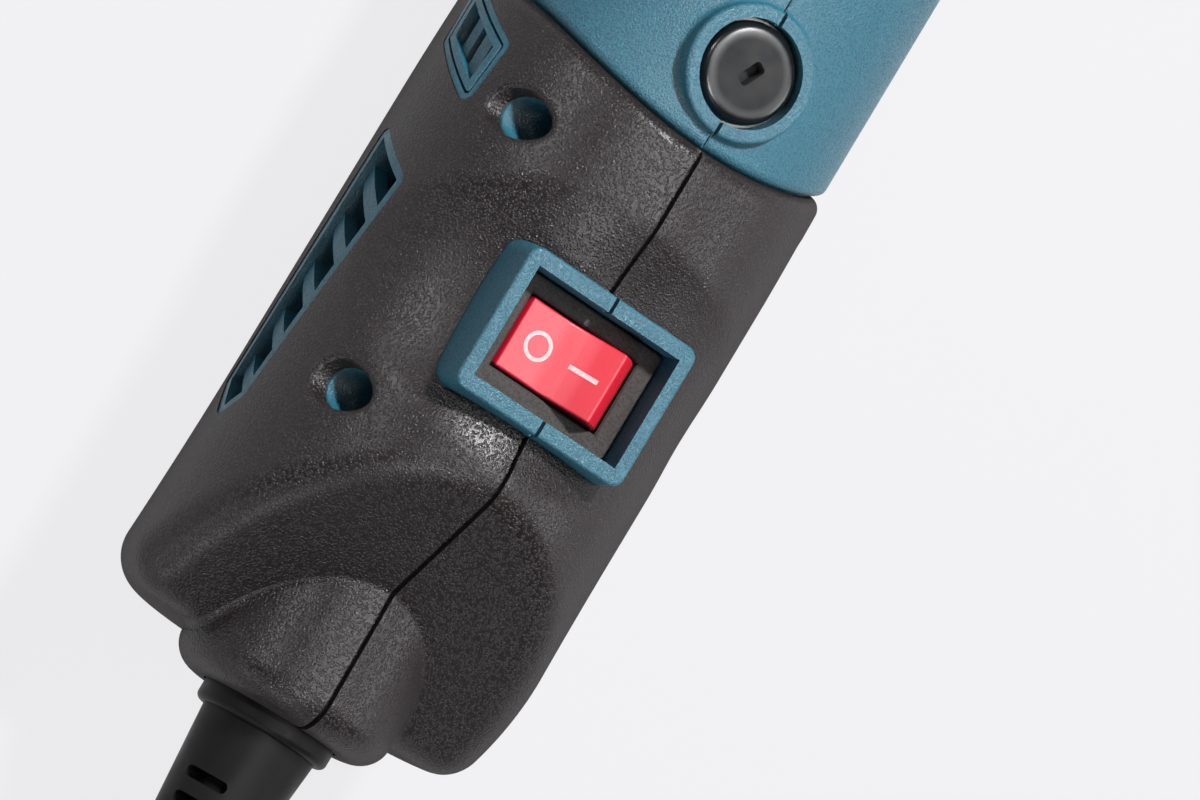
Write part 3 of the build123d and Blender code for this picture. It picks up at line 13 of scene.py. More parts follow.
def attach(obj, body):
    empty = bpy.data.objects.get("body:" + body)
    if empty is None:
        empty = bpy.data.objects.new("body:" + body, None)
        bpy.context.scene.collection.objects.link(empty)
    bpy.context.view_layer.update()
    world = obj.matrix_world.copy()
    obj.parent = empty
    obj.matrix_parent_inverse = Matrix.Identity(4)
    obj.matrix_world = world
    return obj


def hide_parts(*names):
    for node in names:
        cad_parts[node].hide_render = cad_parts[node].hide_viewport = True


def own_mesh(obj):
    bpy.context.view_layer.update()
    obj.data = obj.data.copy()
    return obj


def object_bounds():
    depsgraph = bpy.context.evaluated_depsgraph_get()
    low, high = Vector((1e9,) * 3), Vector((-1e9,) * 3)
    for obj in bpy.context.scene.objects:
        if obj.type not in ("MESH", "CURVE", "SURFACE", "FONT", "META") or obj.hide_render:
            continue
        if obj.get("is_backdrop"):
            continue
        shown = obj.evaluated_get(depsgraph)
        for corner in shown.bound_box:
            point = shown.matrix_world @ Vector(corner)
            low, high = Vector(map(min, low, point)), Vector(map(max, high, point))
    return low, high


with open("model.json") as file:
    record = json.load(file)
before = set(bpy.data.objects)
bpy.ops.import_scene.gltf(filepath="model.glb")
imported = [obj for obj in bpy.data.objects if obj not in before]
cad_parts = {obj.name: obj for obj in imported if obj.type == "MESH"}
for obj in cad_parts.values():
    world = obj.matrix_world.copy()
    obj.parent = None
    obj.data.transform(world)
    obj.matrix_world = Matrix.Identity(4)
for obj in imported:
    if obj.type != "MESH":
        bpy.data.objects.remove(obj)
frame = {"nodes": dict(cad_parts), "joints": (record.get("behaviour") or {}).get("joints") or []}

Tree = bpy.types.NodeTree
Socket = bpy.types.NodeSocket
Shape = bmesh.types.BMesh

LOG = logging.getLogger("rotary_tool")
MM = 0.001
SAME_POINT = 1e-7                   # metres between vertices that count as one
BRUSH_X_MM = -125.8                 # station of the brushes and their caps

# Inputs of a Mix node, for numbers and for colours, and of a Map Range node
MIX_A, MIX_B = 2, 3
COLOUR_A, COLOUR_B = 6, 7
FROM_LOW, FROM_HIGH, TO_LOW, TO_HIGH = 1, 2, 3, 4

# Octaves of a noise, and the part of its range that holds nearly all of it
SPECK_DETAIL = 1.0
GRAIN_DETAIL = 2.0
CLOUD_DETAIL = 3.0
SMUDGE_DETAIL = 4.0
NOISE_LOW, NOISE_HIGH = 0.3, 0.7


class Body(Enum):
    """Moving bodies of the tool that new pieces ride on."""

    HOUSING = "housing"
    ROCKER = "switch_rocker"


class Side(Enum):
    """Sides of the tool that carry a brush."""

    UPPER = "upper"
    LOWER = "lower"


class Half(Enum):
    """Halves of the rocker's top, 1 towards the tool's left and -1 towards its right."""

    OFF = 1
    ON = -1


class Axis(Enum):
    """Axes that layers are stacked along."""

    X = "X"
    Z = "Z"


def linear(hex_colour: str) -> tuple[float, float, float, float]:
    """Turn an sRGB hex colour into linear RGBA.

    Args:
        hex_colour: Colour written as "#rrggbb".

    Returns:
        Linear red, green, blue and an alpha of one.
    """
    shares = [int(hex_colour[start:start + 2], 16) / 255 for start in (1, 3, 5)]
    red, green, blue = [c / 12.92 if c <= 0.04045 else ((c + 0.055) / 1.055) ** 2.4 for c in shares]
    return (red, green, blue, 1.0)


def per_metre(size_mm: float) -> float:
    """Texture scale whose features are about this many millimetres wide."""
    return 1.0 / (size_mm * MM)


def add_node(tree: Tree, kind: str, inputs: dict[Any, Any] | None = None, **settings: Any) -> bpy.types.Node:
    """Add a node with its settings, values and links.

    Args:
        tree: Node tree that gets the node.
        kind: Type name of the node.
        inputs: Values, or output sockets to link, by the input's name or index.
        **settings: Attributes of the node.

    Returns:
        The new node.
    """
    node = tree.nodes.new(kind)
    for name, value in settings.items():
        setattr(node, name, value)
    for name, value in (inputs or {}).items():
        if isinstance(value, Socket):
            tree.links.new(value, node.inputs[name])
        else:
            node.inputs[name].default_value = value
    return node


@dataclass(frozen=True)
class Finish:
    """A surface finish: its name, colours and the values that are the same all over."""

    name: str
    colour: str
    shade: str
    roughness: float = 0.5
    metallic: float = 0.0
    ior: float = 1.5
    specular: float = 0.5
    gloss_range: tuple[float, float] = (-0.08, 0.08)    # change of the roughness over the surface

    def material(self) -> bpy.types.Material:
        """Material of this finish, made once.

        Returns:
            The material, with its nodes.
        """
        known = bpy.data.materials.get(self.name)
        if known:
            return known
        material = bpy.data.materials.new(self.name)
        material.use_nodes = True
        tree = material.node_tree
        tree.nodes.clear()
        place = add_node(tree, "ShaderNodeTexCoord").outputs["Object"]
        values = {"Metallic": self.metallic, "IOR": self.ior, "Specular IOR Level": self.specular,
                  "Roughness": self.roughness}
        values.update(self.surface(tree, place))
        shader = add_node(tree, "ShaderNodeBsdfPrincipled", values)
        add_node(tree, "ShaderNodeOutputMaterial", {"Surface": shader.outputs[0]})
        return material

    def surface(self, tree: Tree, place: Socket) -> dict[str, Any]:
        """Sockets of the shader that this finish varies over the surface.

        Args:
            tree: Nodes of the material.
            place: Object coordinates.

        Returns:
            Values or sockets by the shader's input name.
        """
        raise NotImplementedError

    def tint(self, tree: Tree, factor: Socket) -> Socket:
        """Colour that runs from the shade to the main colour with a factor.

        Args:
            tree: Nodes of the material.
            factor: Share of the main colour.

        Returns:
            The mixed colour.
        """
        mixed = add_node(tree, "ShaderNodeMix", {0: factor, COLOUR_A: linear(self.shade),
                                                 COLOUR_B: linear(self.colour)}, data_type="RGBA")
        return mixed.outputs[2]

    def uneven_gloss(self, tree: Tree, noise: Socket) -> Socket:
        """Roughness that a noise spreads about the main one.

        Args:
            tree: Nodes of the material.
            noise: Noise that the gloss follows.

        Returns:
            The roughness.
        """
        below, above = self.gloss_range
        spread = add_node(tree, "ShaderNodeMapRange", {0: noise, FROM_LOW: NOISE_LOW, FROM_HIGH: NOISE_HIGH,
                                                       TO_LOW: self.roughness + below,
                                                       TO_HIGH: self.roughness + above})
        return spread.outputs[0]


@dataclass(frozen=True)
class MouldedPlastic(Finish):
    """Hard plastic from a spark-eroded mould.

    The eye sees an even colour that sparkles: the pits of the mould are about a tenth of a millimetre across,
    and they are drawn coarser so that they show. The colour is painted darker in the pits as shade and paler
    on the tops as sparkle.
    """

    grit_mm: float = 0.3
    grit_depth_mm: float = 0.05
    grit_breakup: float = 0.6       # share of the finer octaves
    pit_span: tuple[float, float] = (0.34, 0.66)    # part of the noise between a pit and a top
    cloud_mm: float = 14.0
    cloud_share: float = 0.25
    gloss_spread: float = 0.12

    def surface(self, tree: Tree, place: Socket) -> dict[str, Any]:
        """Pits in the relief, the gloss and the tone, with slow clouds in the colour. The tone is painted
        shade in the pits and painted sparkle on the tops.

        Args:
            tree: Nodes of the material.
            place: Object coordinates.

        Returns:
            Values or sockets by the shader's input name.
        """
        grit = add_node(tree, "ShaderNodeTexNoise",
                        {"Vector": place, "Scale": per_metre(self.grit_mm), "Detail": GRAIN_DETAIL,
                         "Roughness": self.grit_breakup})
        cloud = add_node(tree, "ShaderNodeTexNoise",
                         {"Vector": place, "Scale": per_metre(self.cloud_mm), "Detail": CLOUD_DETAIL})
        pit, top = self.pit_span
        crisp = add_node(tree, "ShaderNodeMapRange", {0: grit.outputs[0], FROM_LOW: pit, FROM_HIGH: top})
        # painted shade in the pits and painted sparkle on the tops, mixed with slow clouds of tone
        pit_shade_and_sparkle_with_clouds = add_node(tree, "ShaderNodeMix",
                         {0: self.cloud_share, MIX_A: crisp.outputs[0], MIX_B: cloud.outputs[0]})
        gloss = add_node(tree, "ShaderNodeMapRange",
                         {0: crisp.outputs[0], TO_LOW: self.roughness + self.gloss_spread,
                          TO_HIGH: self.roughness - self.gloss_spread})
        relief = add_node(tree, "ShaderNodeBump",
                          {"Distance": self.grit_depth_mm * MM, "Height": crisp.outputs[0]})
        return {"Base Color": self.tint(tree, pit_shade_and_sparkle_with_clouds.outputs[0]), "Roughness": gloss.outputs[0],
                "Normal": relief.outputs[0]}


@dataclass(frozen=True)
class DishedPlastic(MouldedPlastic):
    """Hard plastic whose two flat halves run into each other in a soft hollow.

    The eye sees a sheen on one half that fades slowly into the clear colour of the other.
    """

    hollow_y_mm: float = 0.0
    hollow_mm: float = 3.6          # half the width of the hollow
    hollow_fill_mm: float = 0.19

    def surface(self, tree: Tree, place: Socket) -> dict[str, Any]:
        """The plain moulded surface, with the line between the halves filled to a hollow.

        Args:
            tree: Nodes of the material.
            place: Object coordinates.

        Returns:
            Values or sockets by the shader's input name.
        """
        sockets = super().surface(tree, place)
        across = add_node(tree, "ShaderNodeSeparateXYZ", {0: place})
        away = add_node(tree, "ShaderNodeMath", {0: across.outputs[1], 1: self.hollow_y_mm * MM},
                        operation="SUBTRACT")
        beside = add_node(tree, "ShaderNodeMath", {0: away.outputs[0]}, operation="ABSOLUTE")
        fill = add_node(tree, "ShaderNodeMapRange",
                        {0: beside.outputs[0], FROM_HIGH: self.hollow_mm * MM, TO_LOW: 1.0, TO_HIGH: 0.0},
                        interpolation_type="SMOOTHSTEP")
        hollow = add_node(tree, "ShaderNodeBump",
                          {"Distance": self.hollow_fill_mm * MM, "Height": fill.outputs[0],
                           "Normal": sockets["Normal"]})
        return {**sockets, "Normal": hollow.outputs[0]}


@dataclass(frozen=True)
class LeatherRubber(Finish):
    """Soft rubber moulded over the shell with a fine leather grain.

    The eye sees a dull brownish black of small flat pebbles with creases between them, which break the lights
    up into fine sparks, and a few pale specks of dust. The colour is painted darker in the creases as shade
    and paler on the pebble tops as light.
    """

    cell_mm: float = 0.34
    cell_depth_mm: float = 0.08
    cell_smoothness: float = 0.5
    crease_from: float = 0.2        # distance from a pebble's middle where its top starts to fall, in cells
    crease_at: float = 0.55         # and where the crease is deepest
    sway_cells: float = 2.0         # size of the sway that makes the pebbles uneven, in cells
    sway_push: float = 0.9          # and how far it moves them
    skin_cells: float = 0.5         # size of the fine skin on the pebbles, in cells
    skin_share: float = 0.45        # depth of that skin, as a share of the crease's
    tone_with_crease_shade_span: tuple[float, float] = (0.1, 1.3)     # heights of the darkest and the palest rubber: painted shade in the creases, paler pebble tops
    edge_roughness: float = 0.95    # seen along the surface, where the pebbles hide the gloss behind them
    edge_power: float = 2.5         # how late that sets in
    dust: str = "#a39d97"
    dust_mm: float = 0.3
    dust_span: tuple[float, float] = (0.77, 0.82)   # part of the noise where a speck starts and is full
    dust_cover: float = 0.7

    def surface(self, tree: Tree, place: Socket) -> dict[str, Any]:
        """Leather pebbles in the relief, the gloss and the tone, with painted shade in the creases, dust on
        top.

        Args:
            tree: Nodes of the material.
            place: Object coordinates.

        Returns:
            Values or sockets by the shader's input name.
        """
        sway = add_node(tree, "ShaderNodeTexNoise",
                        {"Vector": place, "Scale": per_metre(self.sway_cells * self.cell_mm),
                         "Detail": GRAIN_DETAIL})
        push = (self.sway_push * self.cell_mm * MM,) * 3
        bent = add_node(tree, "ShaderNodeVectorMath", {0: sway.outputs[1], 1: push, 2: place},
                        operation="MULTIPLY_ADD")
        cells = add_node(tree, "ShaderNodeTexVoronoi",
                         {"Vector": bent.outputs[0], "Scale": per_metre(self.cell_mm),
                          "Smoothness": self.cell_smoothness}, feature="SMOOTH_F1")
        skin = add_node(tree, "ShaderNodeTexNoise",
                        {"Vector": place, "Scale": per_metre(self.skin_cells * self.cell_mm),
                         "Detail": GRAIN_DETAIL})
        tops = add_node(tree, "ShaderNodeMapRange",
                        {0: cells.outputs[0], FROM_LOW: self.crease_from, FROM_HIGH: self.crease_at,
                         TO_LOW: 1.0, TO_HIGH: 0.0}, interpolation_type="SMOOTHSTEP")
        height = add_node(tree, "ShaderNodeMath",
                          {0: skin.outputs[0], 1: self.skin_share, 2: tops.outputs[0]},
                          operation="MULTIPLY_ADD")
        relief = add_node(tree, "ShaderNodeBump",
                          {"Distance": self.cell_depth_mm * MM, "Height": height.outputs[0]})
        dark, pale = self.tone_with_crease_shade_span
        # painted shade: the colour is darker in the creases and paler on the pebble tops, with the fine skin
        # as random grain
        tone = add_node(tree, "ShaderNodeMapRange", {0: height.outputs[0], FROM_LOW: dark, FROM_HIGH: pale})
        speck = add_node(tree, "ShaderNodeTexNoise",
                         {"Vector": place, "Scale": per_metre(self.dust_mm), "Detail": SPECK_DETAIL})
        start, full = self.dust_span
        dusty = add_node(tree, "ShaderNodeMapRange",
                         {0: speck.outputs[0], FROM_LOW: start, FROM_HIGH: full, TO_HIGH: self.dust_cover})
        colour = add_node(tree, "ShaderNodeMix",
                          {0: dusty.outputs[0], COLOUR_A: self.tint(tree, tone.outputs[0]),
                           COLOUR_B: linear(self.dust)}, data_type="RGBA")
        facing = add_node(tree, "ShaderNodeLayerWeight").outputs["Facing"]
        hidden = add_node(tree, "ShaderNodeMath", {0: facing, 1: self.edge_power}, operation="POWER")
        dull = add_node(tree, "ShaderNodeMix",
                        {0: hidden.outputs[0], MIX_A: self.uneven_gloss(tree, skin.outputs[0]),
                         MIX_B: self.edge_roughness})
        return {"Base Color": colour.outputs[2], "Roughness": dull.outputs[0], "Normal": relief.outputs[0]}


@dataclass(frozen=True)
class SmoothRubber(Finish):
    """Plain moulded rubber or soft plastic.

    The eye sees an even satin colour with broad soft lights and a trace of unevenness.
    """

    gloss_range: tuple[float, float] = (-0.06, 0.08)
    wave_mm: float = 3.0
    skin_mm: float = 0.25
    skin_depth_mm: float = 0.02
    skin_strength: float = 0.35

    def surface(self, tree: Tree, place: Socket) -> dict[str, Any]:
        """Slow waves in the tone and the gloss, and a fine skin in the relief.

        Args:
            tree: Nodes of the material.
            place: Object coordinates.

        Returns:
            Values or sockets by the shader's input name.
        """
        wave = add_node(tree, "ShaderNodeTexNoise",
                        {"Vector": place, "Scale": per_metre(self.wave_mm), "Detail": CLOUD_DETAIL})
        skin = add_node(tree, "ShaderNodeTexNoise",
                        {"Vector": place, "Scale": per_metre(self.skin_mm), "Detail": GRAIN_DETAIL})
        relief = add_node(tree, "ShaderNodeBump",
                          {"Strength": self.skin_strength, "Distance": self.skin_depth_mm * MM,
                           "Height": skin.outputs[0]})
        return {"Base Color": self.tint(tree, wave.outputs[0]),
                "Roughness": self.uneven_gloss(tree, wave.outputs[0]), "Normal": relief.outputs[0]}


@dataclass(frozen=True)
class TurnedPlastic(Finish):
    """Hard resin faced on a lathe, with a polished rim.

    The eye sees a dull face with fine rings round the axis, and a bright line on the rim. The rings are a few
    hundredths of a millimetre apart, and they are drawn coarser so that they show.
    """

    gloss_range: tuple[float, float] = (-0.1, 0.1)
    centre_mm: tuple[float, float] = (0.0, 0.0)     # where the upright axis of the rings stands
    ring_mm: float = 0.1
    ring_depth_mm: float = 0.005
    smudge_mm: float = 2.5
    smudge_span: tuple[float, float] = (0.35, 0.65)     # part of the noise between the two tones
    rim_from_mm: float = 4.2        # radius where the polish starts
    rim_at_mm: float = 5.6          # and where it is full
    rim_roughness: float = 0.25

    def surface(self, tree: Tree, place: Socket) -> dict[str, Any]:
        """Rings in the relief, smudges in the tone and the gloss, and the polish of the rim.

        Args:
            tree: Nodes of the material.
            place: Object coordinates.

        Returns:
            Values or sockets by the shader's input name.
        """
        middle = (*(-value * MM for value in self.centre_mm), 0.0)
        flat = add_node(tree, "ShaderNodeMapping",
                        {"Vector": place, "Location": middle, "Scale": (1.0, 1.0, 0.0)})
        radius = add_node(tree, "ShaderNodeVectorMath", {0: flat.outputs[0]}, operation="LENGTH")
        rings = add_node(tree, "ShaderNodeTexNoise",
                         {"W": radius.outputs[1], "Scale": per_metre(self.ring_mm), "Detail": SPECK_DETAIL},
                         noise_dimensions="1D")
        smudge = add_node(tree, "ShaderNodeTexNoise",
                          {"Vector": place, "Scale": per_metre(self.smudge_mm), "Detail": SMUDGE_DETAIL})
        dark, pale = self.smudge_span
        blotch = add_node(tree, "ShaderNodeMapRange", {0: smudge.outputs[0], FROM_LOW: dark, FROM_HIGH: pale})
        relief = add_node(tree, "ShaderNodeBump",
                          {"Distance": self.ring_depth_mm * MM, "Height": rings.outputs[0]})
        rim = add_node(tree, "ShaderNodeMapRange",
                       {0: radius.outputs[1], FROM_LOW: self.rim_from_mm * MM,
                        FROM_HIGH: self.rim_at_mm * MM})
        polish = add_node(tree, "ShaderNodeMix",
                          {0: rim.outputs[0], MIX_A: self.uneven_gloss(tree, smudge.outputs[0]),
                           MIX_B: self.rim_roughness})
        return {"Base Color": self.tint(tree, blotch.outputs[0]), "Roughness": polish.outputs[0],
                "Normal": relief.outputs[0]}


@dataclass(frozen=True)
class WorkedMetal(Finish):
    """Metal with the fine lines that turning, drawing or stamping leaves.

    The eye sees long soft lights broken up by lines across the axis. Their pitch is drawn coarse enough to
    show.
    """

    gloss_range: tuple[float, float] = (-0.08, 0.1)
    line_mm: float = 0.25
    line_axis: tuple[float, float, float] = (1.0, 0.15, 0.15)
    line_depth_mm: float = 0.01
    line_strength: float = 0.5
    cloud_mm: float = 5.0

    def surface(self, tree: Tree, place: Socket) -> dict[str, Any]:
        """Lines in the relief and the gloss, a slow change of tone.

        Args:
            tree: Nodes of the material.
            place: Object coordinates.

        Returns:
            Values or sockets by the shader's input name.
        """
        stretched = add_node(tree, "ShaderNodeVectorMath", {0: place, 1: self.line_axis},
                             operation="MULTIPLY")
        lines = add_node(tree, "ShaderNodeTexNoise",
                         {"Vector": stretched.outputs[0], "Scale": per_metre(self.line_mm),
                          "Detail": GRAIN_DETAIL})
        cloud = add_node(tree, "ShaderNodeTexNoise",
                         {"Vector": place, "Scale": per_metre(self.cloud_mm), "Detail": CLOUD_DETAIL})
        relief = add_node(tree, "ShaderNodeBump",
                          {"Strength": self.line_strength, "Distance": self.line_depth_mm * MM,
                           "Height": lines.outputs[0]})
        return {"Base Color": self.tint(tree, cloud.outputs[0]),
                "Roughness": self.uneven_gloss(tree, lines.outputs[0]), "Normal": relief.outputs[0]}


@dataclass(frozen=True)
class StackedWire(Finish):
    """Layers laid side by side: enamelled wire in a winding, or sheets in a lamination stack.

    The eye sees bright bands with dark lines between them; the dark lines are painted shade in the grooves
    between the wires and sheets. The wires and sheets are too fine to show, so each band stands for about six
    of them.
    """

    WAVE_RADIANS = 20.0             # that the wave texture runs through in one unit

    pitch_mm: float = 0.6
    across: Axis = Axis.Z
    waviness: float = 0.6
    line_depth_mm: float = 0.1
    line_strength: float = 0.7

    def surface(self, tree: Tree, place: Socket) -> dict[str, Any]:
        """Even bands in the relief, and in the colour as painted shade between them.

        Args:
            tree: Nodes of the material.
            place: Object coordinates.

        Returns:
            Values or sockets by the shader's input name.
        """
        bands = add_node(tree, "ShaderNodeTexWave",
                         {"Vector": place, "Scale": per_metre(self.pitch_mm) / self.WAVE_RADIANS,
                          "Distortion": self.waviness, "Detail": GRAIN_DETAIL},
                         bands_direction=self.across.value)
        relief = add_node(tree, "ShaderNodeBump",
                          {"Strength": self.line_strength, "Distance": self.line_depth_mm * MM,
                           "Height": bands.outputs[1]})
        # the colour runs dark in the grooves between the bands as painted shade
        return {"Base Color": self.tint(tree, bands.outputs[1]), "Normal": relief.outputs[0]}


# Acrylonitrile-butadiene-styrene, moulded with a spark-eroded grain: a cool satin teal that sparkles, partly
# from its relief and partly from sparkle and pit shade painted into its colour
TEAL_ABS = MouldedPlastic("teal_abs_spark_eroded", "#3b8196", "#185369", roughness=0.4, specular=0.45,
                          grit_mm=0.26, gloss_spread=0.16)
# Thermoplastic rubber with leather grain: brownish black, with fine sparks and painted shade in the creases
# of the grain
GRIP_RUBBER = LeatherRubber("grip_rubber_leather_grain", "#2d2628", "#201a1b", roughness=0.29, ior=1.42)
# Soft vinyl of the cord guard and the bearing bush: black with a dull skin
GUARD_VINYL = SmoothRubber("guard_vinyl_dull", "#1a1718", "#0f0e0f", roughness=0.48, specular=0.16)
# Glass-filled nylon of the switch: charcoal with a dry, fine skin
SWITCH_NYLON = MouldedPlastic("switch_nylon_charcoal", "#565250", "#403c3b", roughness=0.6, specular=0.14,
                              grit_mm=0.26, grit_depth_mm=0.018)
# Nylon of the nose cap, the lock button and other mouldings: an even satin black
BLACK_NYLON = MouldedPlastic("black_nylon_satin", "#27272a", "#19191b", roughness=0.45, grit_depth_mm=0.02)
# Phenolic resin of the brush caps: near black, with a dull turned face and a polished rim
CAP_PHENOLIC = TurnedPlastic("cap_phenolic_turned", "#191c20", "#0a0b0e", roughness=0.9, specular=0.7,
                             centre_mm=(BRUSH_X_MM, 0.0))
# Polycarbonate of the rocker: clear signal red with a semi-gloss top
ROCKER_RED = DishedPlastic("rocker_polycarbonate_red", "#f61c3c", "#ec1733", roughness=0.36, specular=0.6,
                           grit_depth_mm=0.002, gloss_spread=0.05, hollow_y_mm=0.87)
# Pad-printed ink of the switch marks: off-white, slightly broken
MARK_INK = MouldedPlastic("mark_ink_white", "#fbeced", "#eab9bf", roughness=0.6, grit_depth_mm=0.01)
# Vinyl insulation of the inner leads: dark blue with a soft light
LEAD_VINYL = SmoothRubber("lead_vinyl_blue", "#2b3f7c", "#22325f", roughness=0.4)
# Black-oxide steel of the collet nut and the screws: dark grey with a soft metallic light
BLACK_STEEL = WorkedMetal("black_oxide_steel", "#4a4a4d", "#38383b", roughness=0.4, metallic=1.0)
# Spring steel of the collet and the coils: bright with turning lines
SPRING_STEEL = WorkedMetal("spring_steel_turned", "#a9abb0", "#8d9095", roughness=0.3, metallic=1.0)
# Ground bearing steel of the rings, the shaft and the pins: paler, with narrow lights
BEARING_STEEL = WorkedMetal("bearing_steel_ground", "#c3c5c9", "#abadb2", roughness=0.22, metallic=1.0)
# Drawn brass of the brush holders and terminals: warm yellow with drawing lines
BRASS = WorkedMetal("brass_drawn", "#c9a24d", "#b08a3a", roughness=0.34, metallic=1.0)
# Turned copper of the commutator bars: bright and reddish
COPPER_BAR = WorkedMetal("copper_turned", "#c0764a", "#a4603a", roughness=0.3, metallic=1.0)
# Enamelled copper wire of the windings: dark copper bands, with painted shade between the wires
COPPER_WIRE = StackedWire("copper_wire_enamelled", "#a5562f", "#4a2413", roughness=0.34, metallic=0.6)
# Stamped silicon-steel sheets of the armature and the field: grey bands, with painted shade between the
# sheets
LAMINATION = StackedWire("lamination_steel_stamped", "#7e8086", "#4b4d52", roughness=0.42, metallic=0.9,
                         across=Axis.X)
# Pressed carbon of the brushes: matt black with a grey bloom
BRUSH_CARBON = MouldedPlastic("brush_carbon_pressed", "#303133", "#1f2022", roughness=0.7)


class Piece:
    """A new mesh piece that rides on a body of the tool."""

    SMOOTH_BELOW = math.radians(32.0)

    @staticmethod
    def bare(name: str, shape: Shape) -> bpy.types.Object:
        """Turn a bmesh into an object with outward faces.

        Args:
            name: Name of the object.
            shape: Geometry in metres; it is freed.

        Returns:
            The new object.
        """
        bmesh.ops.remove_doubles(shape, verts=shape.verts, dist=SAME_POINT)
        bmesh.ops.recalc_face_normals(shape, faces=shape.faces)
        mesh = bpy.data.meshes.new(name)
        shape.to_mesh(mesh)
        shape.free()
        item = bpy.data.objects.new(name, mesh)
        bpy.context.scene.collection.objects.link(item)
        return item

    @staticmethod
    def cut(blank: Shape, tool: Shape) -> Shape:
        """Cut one closed shape out of another.

        Args:
            blank: Shape that is cut; it is freed.
            tool: Shape that is taken away; it is freed.

        Returns:
            What is left of the blank.
        """
        kept, taken = Piece.bare("blank", blank), Piece.bare("cutter", tool)
        difference = kept.modifiers.new("cut", "BOOLEAN")
        difference.object, difference.solver, difference.use_self = taken, "EXACT", True
        view = bpy.context.evaluated_depsgraph_get()
        left = bmesh.new()
        left.from_mesh(kept.evaluated_get(view).data)
        for item in (kept, taken):
            mesh = item.data
            bpy.data.objects.remove(item)
            bpy.data.meshes.remove(mesh)
        return left

    @staticmethod
    def turned(outline: list[tuple[float, float]], steps: int) -> Shape:
        """Turn an outline about the Z axis.

        Args:
            outline: Radius and height of each corner in millimetres, from the axis back to the axis.
            steps: Number of facets round the axis.

        Returns:
            The closed shape.
        """
        shape = bmesh.new()
        corners = [shape.verts.new((radius * MM, 0.0, height * MM)) for radius, height in outline]
        edges = [shape.edges.new(pair) for pair in zip(corners, corners[1:])]
        bmesh.ops.spin(shape, geom=corners + edges, axis=(0, 0, 1), cent=(0, 0, 0), angle=math.tau,
                       steps=steps, use_merge=True)
        bmesh.ops.remove_doubles(shape, verts=shape.verts, dist=SAME_POINT)
        bmesh.ops.recalc_face_normals(shape, faces=shape.faces)
        return shape

    @staticmethod
    def rounded(shape: Shape, edges: list[bmesh.types.BMEdge], size_mm: float, segments: int = 4) -> None:
        """Round some edges of a shape.

        Args:
            shape: Shape that has the edges.
            edges: Edges to round.
            size_mm: Width that the rounding takes from each face.
            segments: Facets across the rounding.
        """
        bmesh.ops.bevel(shape, geom=edges, offset=size_mm * MM, affect="EDGES", segments=segments,
                        profile=0.5, material=-1)

    @staticmethod
    def made(name: str, shape: Shape, finish: Finish, body: Body, slot: str) -> bpy.types.Object:
        """Turn a bmesh into a finished piece.

        Args:
            name: Name of the piece.
            shape: Geometry in metres, in the tool's frame; it is freed.
            finish: Finish of the whole piece.
            body: Body that the piece rides on.
            slot: Material slot of the record; not used.

        Returns:
            The new object.
        """
        piece = Piece.bare(name, shape)
        mesh = piece.data
        mesh.shade_smooth()
        mesh.set_sharp_from_angle(angle=Piece.SMOOTH_BELOW)
        mesh.materials.append(finish.material())
        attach(piece, body.value)
        LOG.info("made %s: %d faces", name, len(mesh.polygons))
        return piece


def dress(finish: Finish, *nodes: str) -> None:
    """Give CAD nodes a finish.

    Args:
        finish: Finish of the nodes.
        *nodes: Names of the nodes.
    """
    material = finish.material()
    for name in nodes:
        for slot in frame["nodes"][name].material_slots:
            slot.material = material
        LOG.info("dressed %s in %s", name, finish.name)


